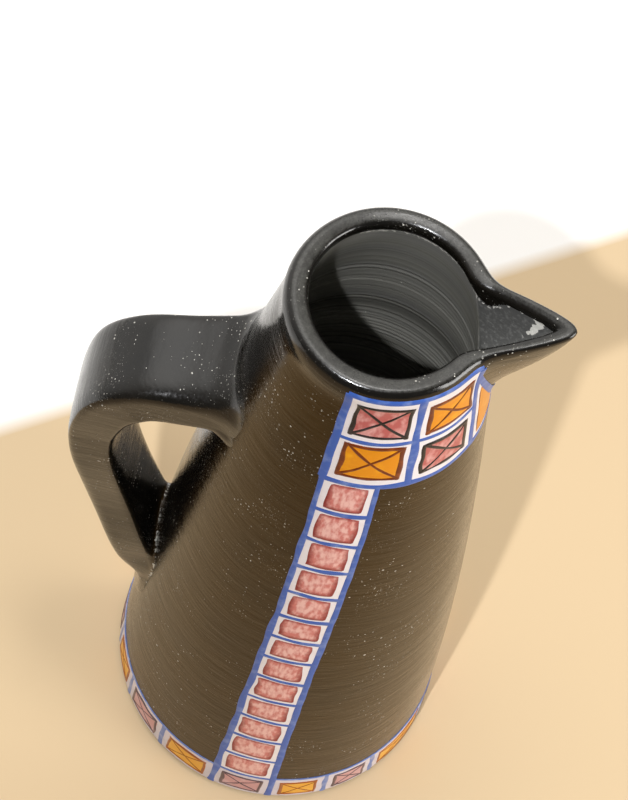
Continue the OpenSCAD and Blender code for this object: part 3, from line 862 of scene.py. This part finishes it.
def spout_cell(side, left, right, low, drop, top, tall=JUG_H, step=0.8):
    """A patch under the spout, up to a height, cut off below the line where the spout leaves the neck."""
    cols = max(8, int(abs(right - left) * math.radians(1) * wall_r(LOW_LINE_Z) / step))
    az = np.linspace(left, right, cols)
    line = smoothed(np.minimum(junction_z(az), TOP_LINE_Z), CELL_ROUNDS)
    high = np.maximum(line - drop, low + SPOUT_MARGIN) + wobble(cols, 3, 0.15)
    low = np.maximum(low, high - tall)
    v = np.linspace(0, 1, CELL_ROWS)[:, None]
    z = low + (high - low) * v
    mark = np.minimum(np.minimum(v, 1 - v) * (high - low), 3.0)
    return sheet(side * (az + 0 * v), z, top, mark)


def paint_collar(finish):
    """The collar under the rim."""
    left, bar, last = COLLAR_BARS

    def top_z(side):
        return TOP_LINE_Z if side > 0 else TOP_LINE_Z - FAR_TOP_DROP

    def ground(side):
        return [filled(side * left, side * last, LOW_LINE_Z, top_z(side), GROUND_T, 0.05),
                spout_cell(side, last, SEAM_AZ, LOW_LINE_Z, 0.5, GROUND_T)]

    def lines(side):
        top = top_z(side)
        runs = (((left - OVERSHOOT, top), (last, top), 1, 0.08, 0.1),
                ((left, MID_LINE_Z), (last, MID_LINE_Z), 0.8),
                ((left - OVERSHOOT, LOW_LINE_Z), (0, LOW_LINE_Z), 1),
                ((left - 0.3, LOW_LINE_Z), (left - 0.8, top), 1, 0.08, 0.07),
                ((bar + 0.5, LOW_LINE_Z), (bar, top), 1),
                ((last, LOW_LINE_Z), (last, top - 1), 0.9))
        made = [stroke(turned(side, start, end), LINE_W * width, COLOUR_T + k * LAYER, *brush)
                for k, (start, end, width, *brush) in enumerate(runs)]
        under = COLOUR_T + len(runs) * LAYER
        return made + [spout_cell(side, last - 1.0, SEAM_AZ, LOW_LINE_Z, 0.4, under, 4.5, 0.4)]

    def boxes(colour):
        return lambda side: [filled(side * l, side * r, b, t, COLOUR_T, 0.2, 0.08)
                             for l, r, b, t in COLLAR_BOXES[colour]]

    def crosses(colour):
        return lambda side: [s for l, r, b, t in COLLAR_BOXES[colour]
                             for s in outlined(side * l, side * r, b, t)]

    def spout_box(side):
        edge, low = last + SPOUT_BOX_IN, LOW_LINE_Z + SPOUT_BOX_UP
        return [spout_cell(side, edge, SPOUT_BOX_END, low, SPOUT_BOX_DROP, COLOUR_T)]

    def spout_outline(side):
        edge, low = last + (SPOUT_BOX_IN + SPOUT_LINE_IN), LOW_LINE_Z + (SPOUT_BOX_UP + SPOUT_LINE_IN)
        middle, end = SPOUT_LINE_AZ
        top = junction_z(np.array([edge, middle, end])) - 4.6
        runs = (((edge, low), (edge, top[0])),
                ((edge, low), (SPOUT_BOX_END, low)),
                ((edge, top[0]), (middle, top[1]), (end, max(top[2], low))))
        return [stroke(turned(side, *run), THIN_W, STROKE_T + k * LAYER) for k, run in enumerate(runs)]

    coat("collar_ground", ground, finish, "white_ground")
    coat("collar_lines", lines, finish, "blue_line")
    coat("collar_pink_boxes", boxes("pink"), finish, "collar_pink")
    coat("collar_yellow_boxes", boxes("yellow"), finish, "yellow_wash")
    coat("collar_dark_crosses", crosses("pink"), finish, "dark_stroke")
    coat("collar_brown_crosses", crosses("yellow"), finish, "brown_stroke")
    coat("spout_yellow_boxes", spout_box, finish, "yellow_wash")
    coat("spout_brown_outlines", spout_outline, finish, "brown_stroke")


def paint_ladder(finish):
    """The ladder of boxes down each side."""

    def rails(side, z):
        """Azimuths of the left and the right rail at a height."""
        return [side * from_table(RAILS[name], z) for name in ("left", "right")]

    def ground(side):
        return [filled(*rails(side, cell), *cell, GROUND_T, 0.02) for cell in CELLS]

    def lines(side):
        made = [stroke([(side * az, z) for z, az in rail], RAIL_W[name], COLOUR_T + 2 * LAYER, 0.1, 0.09)
                for name, rail in RAILS.items()]
        for z in RUNG_Z[:-1]:
            tilt = rng.normal(0, TILT)
            left, right = rails(side, z)
            width = np.interp(z, [0, JUG_H], RUNG_W) * rng.uniform(*RUNG_SPREAD)
            made.append(stroke([(left, z - tilt), (right, z + tilt)], width, COLOUR_T + LAYER))
        return made

    def inset(edge):
        return rng.uniform(*BOX_INSET[edge])

    def boxes(side):
        made = []
        for low, high in CELLS:
            mid = (low + high) / 2
            left, right = rails(1, mid)
            left, right = left + degrees_of(inset("left"), mid), right - degrees_of(inset("right"), mid)
            slant = rng.normal(0, TILT)
            made.append(filled((side * left, side * (left + slant)), (side * (right - slant), side * right),
                               low + inset("low"), high - inset("high"), COLOUR_T, 0.15, 0.2, 0.6, BOX_POOL))
        return made

    coat("ladder_ground", ground, finish, "white_ground")
    coat("ladder_lines", lines, finish, "blue_line")
    coat("ladder_pink_boxes", boxes, finish, "ladder_pink")


def paint_foot(finish):
    """The band of boxes round the foot."""
    edges = sorted(list(FOOT_BARS) + [-b for b in FOOT_BARS])
    cells = list(zip(edges, edges[1:] + [edges[0] + 360]))
    pink = edges.index(LADDER_BARS[0]) % 2
    yellow = 1 - pink
    aside, below, above = FOOT_MARGINS
    pad = degrees_of(aside, FOOT_TOP_Z / 2)

    def row(first):
        """Edges of every other box, from the first."""
        return [(left + pad, right - pad, FOOT_LOW_Z + below, FOOT_TOP_Z - above)
                for left, right in cells[first::2]]

    def ground(side):
        return [filled(0, side * -180, FOOT_LOW_Z, FOOT_TOP_Z, GROUND_T, 0.05, 0, 1.6)]

    def lines(side):
        turns = np.linspace(0, side * -180, 90)
        made = [stroke([(a, FOOT_TOP_Z) for a in turns], LINE_W * 0.36, COLOUR_T, 0.15)]
        for bar in FOOT_BARS:
            if bar not in LADDER_BARS:
                ends = turned(-side, (bar, FOOT_LOW_Z), (bar, FOOT_TOP_Z))
                made.append(stroke(ends, LINE_W * 0.8, COLOUR_T + 2 * LAYER))
        return made

    def boxes(first):
        return lambda side: [filled(*box, COLOUR_T, 0.2, 0.1) for box in row(first) if side > 0]

    def crosses(first):
        return lambda side: [s for box in row(first) if side > 0
                             for s in outlined(*box, FOOT_OUTLINE_W, FOOT_CROSS_W)]

    coat("foot_ground", ground, finish, "foot_white")
    coat("foot_lines", lines, finish, "foot_blue")
    coat("foot_pink_boxes", boxes(pink), finish, "foot_pink")
    coat("foot_yellow_boxes", boxes(yellow), finish, "foot_yellow")
    coat("foot_dark_crosses", crosses(pink), finish, "foot_dark")
    coat("foot_brown_crosses", crosses(yellow), finish, "foot_brown")


# Finishes

def tint(red, green, blue):
    """A linear colour from 0 to 255 screen values."""
    screen = (v / 255 for v in (red, green, blue))
    return (*(v / 12.92 if v < 0.0404 else ((v + 0.055) / 1.055) ** 2.4 for v in screen), 1.0)


class Nodes:
    """The nodes of a material or a world, with the place that their textures are read at."""

    def __init__(self, owner, place):
        owner.use_nodes = True
        self.tree = owner.node_tree
        self.place = self.add("TexCoord").outputs[place]

    def add(self, kind, inputs=(), **props):
        """A node with its properties set and its inputs fed."""
        made = self.tree.nodes.new("ShaderNode" + kind)
        for key, value in props.items():
            setattr(made, key, value)
        self.feed(made, inputs)
        return made

    def feed(self, node, inputs):
        """Gives a node's inputs a value or a link."""
        for socket, value in dict(inputs).items():
            if isinstance(value, bpy.types.NodeSocket):
                self.tree.links.new(value, node.inputs[socket])
            else:
                node.inputs[socket].default_value = value

    def shade(self, inputs):
        """Feeds the material's shader."""
        self.feed(self.tree.nodes["Principled BSDF"], inputs)

    def noise(self, scale, detail=2, stretch=(1, 1, 1)):
        """A noise whose grain is stretched by scaling the place."""
        moved = self.add("Mapping", {"Vector": self.place, "Scale": stretch}).outputs[0]
        return self.add("TexNoise", {"Vector": moved, "Scale": scale, "Detail": detail}).outputs[0]

    def mark(self, name):
        """A value that the mesh holds at its points."""
        return self.add("Attribute", attribute_name=name).outputs["Fac"]

    def along(self, way):
        """How far the place lies along a direction."""
        inputs = {0: self.place, 1: Vector(way).normalized()}
        return self.add("VectorMath", inputs, operation="DOT_PRODUCT").outputs["Value"]

    def between(self, value, low, high, to_low=0.0, to_high=1.0):
        """A value mapped from one range to another, and held to it."""
        return self.add("MapRange", {0: value, 1: low, 2: high, 3: to_low, 4: to_high}).outputs[0]

    def math(self, operation, a, b):
        """Two values put together by an operation."""
        return self.add("Math", {0: a, 1: b}, operation=operation).outputs[0]

    def times(self, a, b):
        """Two values multiplied."""
        return self.math("MULTIPLY", a, b)

    def blend(self, share, a, b):
        """A colour between two colours."""
        return self.add("Mix", {0: share, 6: a, 7: b}, data_type="RGBA").outputs[2]

    def relief(self, *layers):
        """A normal bent by layers of relief: the height, its depth in millimetres and its strength."""
        under = {}
        for height, depth, strength in layers:
            bump = self.add("Bump", {"Height": height, "Distance": depth * MM, "Strength": strength, **under})
            under = {"Normal": bump.outputs[0]}
        return under["Normal"]

    def specks(self, scale, share, size, clusters=45):
        """Small round marks of uneven strength, in loose clusters."""
        cells = self.add("TexVoronoi", {"Vector": self.place, "Scale": scale})
        parts = self.add("SeparateColor", {0: cells.outputs["Color"]})
        cluster = self.between(self.noise(clusters), 0.42, 0.62)
        radius = self.times(self.between(parts.outputs[0], 1 - share, 1.0, 0.0, size), cluster)
        mark = self.between(self.math("SUBTRACT", radius, cells.outputs["Distance"]), 0.0, size * 0.35)
        return self.times(mark, self.between(parts.outputs[1], 0.0, 1.0, 0.3, 1.0))

    def flecks_and_glints(self):
        """Pale marks: blisters where the glaze ends inside the rim, brightened as painted glints, painted
        glints down the handle's lower seam, and a pale patch in the spout's trough.
        """
        return self.between(self.times(self.mark("fleck_and_glint"), self.noise(900)), 0.44, 0.54)

    def white_to_camera(self, plain, kind, output, share=None):
        """Sends a shader to the output, turned white by a share where the camera looks straight at it."""
        seen = self.add("LightPath").outputs["Is Camera Ray"]
        seen = seen if share is None else self.times(share, seen)
        white = self.add(kind, {"Color": (1, 1, 1, 1), "Strength": 1.0})
        both = self.add("MixShader", {0: seen, 1: self.tree.nodes[plain].outputs[0], 2: white.outputs[0]})
        self.feed(self.tree.nodes[output], {"Surface": both.outputs[0]})


def start(name):
    """A new material and its nodes."""
    material = bpy.data.materials.new(name)
    return material, Nodes(material, "Object")


# Linear colours of the clay and its glazes, in pairs where a noise goes from one to the other
# The first pair is the glaze's own black, and on the outer side also painted shade
BLACK_AND_SHADE_TONES = (0.004, 0.0035, 0.0028, 1), (0.008, 0.0065, 0.0045, 1)
THIN_TONES = (0.0245, 0.012, 0.0017, 1), (0.0355, 0.0178, 0.0026, 1)
# Pale grey of the rubbed lip top, also a painted reflection
WEAR_AND_SHEEN_TONE = (0.06, 0.059, 0.051, 1)
# Pale tone of dusty pinholes, also painted glints
DUST_AND_GLINT_TONE = (0.66, 0.64, 0.57, 1)
BORE_TONES = (0.185, 0.18, 0.146, 1), (0.235, 0.232, 0.224, 1)
RING_TONE = (0.345, 0.338, 0.3, 1)
# Dark tone painted into the finger grooves as shade
GROOVE_SHADE_TONE = (0.03, 0.028, 0.02, 1)
TROUGH_TONES = (0.115, 0.115, 0.109, 1), (0.19, 0.19, 0.18, 1)
# Pale tone of blisters, bright as painted glints
FLECK_AND_GLINT_TONE = (0.9, 0.88, 0.8, 1)
BARE_TONES = tint(118, 92, 72), tint(146, 118, 94)
PORE_TONE = tint(80, 62, 50)

# Shine of the glazes
GLAZE_IOR = 1.52
GLAZE_LEVEL = 0.58
THIN_LEVEL = 0.2
PLAIN_SHINE = (1, 1, 1, 1)
# Painted reflection: a warm tint on the outer glaze's reflections, standing in for a more orange floor
WARM_REFLECTION_TINT = (0.98, 0.765, 0.45, 1)
BORE_ROUGH = 0.42
BARE_ROUGH = 0.85
PAINT_ROUGH = 0.3
PAINT_LEVEL = 0.3

# Dusty pinholes, also painted glints: scale, share, size and scale of the clusters
PINHOLES_AND_GLINTS = ((300, 0.45, 0.15, 45), (700, 0.6, 0.24, 45), (1000, 0.75, 0.32, 75))
FINE_DUST_AND_GLINTS = (1800, 0.9, 0.4, 38)
FINE_LEVEL = 0.3


def black_glaze(name, level, reflection_tint):
    """Glossy black glaze: fine lines from the wheel, a faint orange peel, dusty pinholes that are also
    painted glints, painted shade where the brown fades to black, and a rubbed lip top that is also a painted
    reflection.
    """
    material, nodes = start(name)
    lines = nodes.noise(1.0, 3, (110, 110, 900))
    rings = nodes.noise(1.0, 2, (55, 55, 240))
    peel = nodes.noise(420)
    grit = nodes.noise(1300)
    mottle = nodes.noise(60, 4)
    wear_and_sheen = nodes.mark("wear_and_sheen")
    # Pale specks: dusty pinholes, also painted glints
    dust_and_glints = nodes.math("MAXIMUM", nodes.times(nodes.specks(*FINE_DUST_AND_GLINTS), FINE_LEVEL), nodes.flecks_and_glints())
    for speck_layer in PINHOLES_AND_GLINTS:
        dust_and_glints = nodes.math("MAXIMUM", dust_and_glints, nodes.specks(*speck_layer))
    patch = nodes.between(mottle, 0.35, 0.7)
    thick, thin = (nodes.blend(patch, *tones) for tones in (BLACK_AND_SHADE_TONES, THIN_TONES))
    # The black left where the brown fades out is painted shade
    clay = nodes.blend(nodes.mark("brown"), thick, thin)
    grain = nodes.between(nodes.noise(2200), 0.35, 0.65, 0.35, 1.0)
    # The rubbed lip top, paler where it faces up, is partly a painted reflection
    patchy = nodes.times(nodes.times(wear_and_sheen, grain), nodes.between(nodes.noise(500, 4), 0.3, 0.65, 0.4, 1.0))
    clay = nodes.blend(patchy, clay, WEAR_AND_SHEEN_TONE)
    rough = nodes.between(mottle, 0.3, 0.7, 0.09, 0.19)
    rough = nodes.math("ADD", rough, nodes.between(grit, 0.35, 0.65, 0.0, 0.09))
    rough = nodes.math("ADD", rough, nodes.times(wear_and_sheen, 0.14))
    relief = nodes.relief((rings, 0.14, 1.0), (lines, 0.08, 1.0), (peel, 0.05, 0.5), (grit, 0.04, 0.5),
                          (dust_and_glints, 0.12, 0.6))
    nodes.shade({"Base Color": nodes.blend(dust_and_glints, clay, DUST_AND_GLINT_TONE), "Roughness": rough, "Normal": relief,
                 "IOR": GLAZE_IOR, "Specular IOR Level": level, "Specular Tint": reflection_tint})
    return material


def bore_satin():
    """The thin glaze in the bore: satin, greyer, with fine rings, painted shade in the finger grooves and
    pale specks that are also painted glints.
    """
    material, nodes = start("bore_satin")
    rings = nodes.noise(1.0, 4, (12, 12, 900))
    grain = nodes.noise(900)
    bands = nodes.between(nodes.noise(1.0, 2, (2, 2, 110)), 0.4, 0.65)
    colour = nodes.blend(nodes.between(rings, 0.3, 0.7), nodes.blend(bands, *BORE_TONES), RING_TONE)
    # Painted shade in the finger grooves
    colour = nodes.blend(nodes.times(nodes.mark("groove_shade"), 0.7), colour, GROOVE_SHADE_TONE)
    speckled = nodes.blend(nodes.between(grain, 0.5, 0.7), *TROUGH_TONES)
    colour = nodes.blend(nodes.mark("trough"), colour, speckled)
    dust_and_glints = nodes.math("MAXIMUM", nodes.specks(500, 0.4, 0.2), nodes.flecks_and_glints())
    nodes.shade({"Base Color": nodes.blend(dust_and_glints, colour, FLECK_AND_GLINT_TONE), "Roughness": BORE_ROUGH,
                 "Normal": nodes.relief((rings, 0.18, 0.8), (grain, 0.04, 0.4))})
    return material


def bare_clay():
    """The unglazed base, with pores and patches."""
    material, nodes = start("bare_clay")
    grain = nodes.noise(1500, 3)
    tone = nodes.blend(nodes.noise(70, 3), *BARE_TONES)
    nodes.shade({"Base Color": nodes.blend(nodes.between(grain, 0.6, 0.75), tone, PORE_TONE),
                 "Roughness": BARE_ROUGH, "Normal": nodes.relief((grain, 0.1, 0.5))})
    return material


def paint(name, full, edge, thin, edge_w=1.6, streak=(260, 260, 260), thin_share=(0.5, 0.75), middle=0.0):
    """A brushed colour: stronger where the brush paused at the edges, thin in streaks between them.

    The colours are screen values, and middle makes it thinner away from the edges.
    """
    material, nodes = start(name)
    full, edge, thin = (tint(*tone) for tone in (full, edge, thin))
    inset = nodes.mark("edge")
    ragged = nodes.times(nodes.noise(700, 3), 1.4)
    near_edge = nodes.between(nodes.math("ADD", inset, ragged), 0.3 + edge_w, 0.5)
    streaks = nodes.math("ADD", nodes.noise(1.0, 3, streak), nodes.times(inset, middle))
    colour = nodes.blend(nodes.between(streaks, *thin_share), full, thin)
    nodes.shade({"Base Color": nodes.blend(near_edge, colour, edge), "Roughness": PAINT_ROUGH,
                 "Specular IOR Level": PAINT_LEVEL, "Normal": nodes.relief((nodes.noise(900), 0.05, 0.5))})
    return material


RED_STREAK = (900, 900, 320)
PINK_STREAK = (420, 420, 240)

# Painted colours as screen values: full, at the edges and where they are thin, and how they are brushed
PAINTS = {
    "white_ground": ((240, 236, 240), (234, 224, 226), (234, 228, 232)),
    "foot_white": ((218, 210, 218), (208, 196, 202), (200, 196, 208)),
    "blue_line": ((56, 96, 180), (44, 74, 152), (112, 138, 198), 0.3),
    "foot_blue": ((104, 128, 190), (96, 116, 178), (164, 174, 206), 0.3),
    "ladder_pink": ((208, 120, 114), (138, 32, 38), (240, 192, 184), 1.7, RED_STREAK, (0.46, 0.72), 0.035),
    "collar_pink": ((186, 94, 92), (158, 62, 62), (222, 166, 162), 0.9, PINK_STREAK, (0.42, 0.66)),
    "foot_pink": ((204, 152, 152), (186, 120, 122), (216, 178, 182), 0.8),
    "yellow_wash": ((228, 144, 0), (200, 102, 0), (242, 168, 2), 0.8),
    "foot_yellow": ((234, 170, 44), (216, 142, 30), (242, 188, 76), 0.8),
    "dark_stroke": ((28, 23, 27), (24, 19, 24), (62, 54, 60), 0.2),
    "foot_dark": ((92, 70, 76), (84, 62, 68), (140, 114, 120), 0.2),
    "brown_stroke": ((108, 42, 8), (94, 34, 6), (150, 74, 18), 0.2),
    "foot_brown": ((158, 84, 26), (146, 72, 20), (182, 112, 50), 0.2),
}

# Camera, floor, lamps and surroundings; a lamp's row is azimuth, elevation, width, power, colour
CAMERA_AT = (-44.5, -357.9, 941.1)
CAMERA_AZ = -5.3
CAMERA_EL = 64.635
CAMERA_ROLL = 17.15
FOCAL_PX = 3203.2
FRAME_H_PX = 800
SENSOR = 36.0
CLIP_END = 20000.0
FLOOR_HALF_W = 3000.0
FLOOR_TONES = tint(210, 185, 147), tint(158, 132, 98)
FLOOR_ROUGH = 0.8
BACKDROP_TONE = tint(250, 248, 244)
BACKDROP_WAY = (-0.537, 0.845, 0)
BACKDROP_AT = 95.0
BACKDROP_FADE = 6.0
# Painted shade: the floor darkens toward the camera's side
DIM_WAY = (-0.25, -0.97, 0)
DIM_FROM = 40.0
DIM_TO = 300.0
FAR_FROM = 350.0
FAR_TO = 800.0
LAMP_AIM = 0.6
LAMP_AWAY = 1700.0
LAMPS = {
    "key": (-111, 60, 35.0, 17.0, (0.97, 0.98, 1.02)),
    "fill": (-18, 14, 900.0, 22.0, (1.0, 0.98, 0.96)),
    "top": (70, 87, 250.0, 6.0, (1.0, 0.98, 0.96)),
}
SKY_TONE = (1.0, 0.98, 0.95, 1)
WALL_WAY = (-0.5, 0.85, 0.3)
WALL_SPAN = (0.1, 0.95)
WALL_LEVEL = 1.0
CEILING_WAY = (-0.15, 0.45, 0.88)
CEILING_SPAN = (0.72, 0.96)
CEILING_LEVEL = 1.9
DIM_LEVEL = 0.1


def make_floor():
    """A plain warm floor, white behind the jug, dimmer in front of it and lost in white far from it."""
    half = FLOOR_HALF_W * MM
    mesh = bpy.data.meshes.new("floor")
    corners = [(-half, -half, 0), (half, -half, 0), (half, half, 0), (-half, half, 0)]
    mesh.from_pydata(corners, [], [range(4)])
    floor = bpy.data.objects.new("floor", mesh)
    material, nodes = start("floor")
    share = nodes.between(nodes.along(BACKDROP_WAY), BACKDROP_AT * MM, (BACKDROP_AT + BACKDROP_FADE) * MM)
    # Painted shade darkening the floor toward the camera
    dim = nodes.between(nodes.along(DIM_WAY), DIM_FROM * MM, DIM_TO * MM)
    colour = nodes.blend(share, nodes.blend(dim, *FLOOR_TONES), BACKDROP_TONE)
    nodes.shade({"Base Color": colour, "Roughness": FLOOR_ROUGH})
    away = nodes.add("VectorMath", {0: nodes.place}, operation="LENGTH").outputs["Value"]
    far = nodes.between(away, FAR_FROM * MM, FAR_TO * MM)
    nodes.white_to_camera("Principled BSDF", "Emission", "Material Output", far)
    mesh.materials.append(material)
    bpy.context.scene.collection.objects.link(floor)


def make_lamp(name, azimuth, elevation, width, power, colour):
    """A soft square lamp, aimed at the jug's upper half."""
    lamp = bpy.data.lights.new(name, "AREA")
    lamp.shape = "RECTANGLE"
    lamp.size = lamp.size_y = width * MM
    lamp.energy = power
    lamp.color = colour
    turn, tilt = math.radians(azimuth), math.radians(elevation)
    aim = Vector((0, 0, JUG_H * LAMP_AIM))
    toward = Vector((math.cos(turn) * math.cos(tilt), math.sin(turn) * math.cos(tilt), math.sin(tilt)))
    obj = bpy.data.objects.new(name, lamp)
    obj.location = (aim + toward * LAMP_AWAY) * MM
    obj.rotation_euler = toward.to_track_quat("Z", "Y").to_euler()
    bpy.context.scene.collection.objects.link(obj)


def make_world():
    """Surroundings pale behind the jug and dim behind the camera, and white where the camera looks."""
    world = bpy.data.worlds.new("studio")
    nodes = Nodes(world, "Generated")
    wall = nodes.between(nodes.along(WALL_WAY), *WALL_SPAN, DIM_LEVEL, WALL_LEVEL)
    ceiling = nodes.between(nodes.along(CEILING_WAY), *CEILING_SPAN, 0.0, CEILING_LEVEL)
    level = nodes.math("MAXIMUM", wall, ceiling)
    nodes.feed(nodes.tree.nodes["Background"], {"Color": SKY_TONE, "Strength": level})
    nodes.white_to_camera("Background", "Background", "World Output")
    bpy.context.scene.world = world


def make_camera():
    """The camera that was fitted to the rim, the base and the painted bands."""
    az, el, roll = (math.radians(v) for v in (CAMERA_AZ, CAMERA_EL, CAMERA_ROLL))
    back = Vector((math.sin(az) * math.cos(el), -math.cos(az) * math.cos(el), math.sin(el)))
    right = Vector((math.cos(az), math.sin(az), 0))
    up = back.cross(right)
    turned_right = math.cos(roll) * right + math.sin(roll) * up
    turned_up = math.cos(roll) * up - math.sin(roll) * right
    camera = bpy.data.cameras.new("camera")
    camera.sensor_width = SENSOR
    camera.lens = FOCAL_PX * SENSOR / FRAME_H_PX
    camera.clip_end = CLIP_END * MM
    obj = bpy.data.objects.new("camera", camera)
    turned = Matrix((turned_right, turned_up, back)).transposed().to_4x4()
    obj.matrix_world = Matrix.Translation(Vector(CAMERA_AT) * MM) @ turned
    bpy.context.scene.collection.objects.link(obj)
    bpy.context.scene.camera = obj


glaze = black_glaze("black_glaze", GLAZE_LEVEL, PLAIN_SHINE)
clay_pieces([glaze, bore_satin(), bare_clay(), black_glaze("thin_glaze", THIN_LEVEL, WARM_REFLECTION_TINT)])
handle_pieces([glaze])
coats = {name: paint(name, *brushed) for name, brushed in PAINTS.items()}
paint_collar(coats)
paint_ladder(coats)
paint_foot(coats)
make_floor()
for lamp, settings in LAMPS.items():
    make_lamp(lamp, *settings)
make_world()
make_camera()
bpy.context.scene.view_settings.view_transform = "Standard"
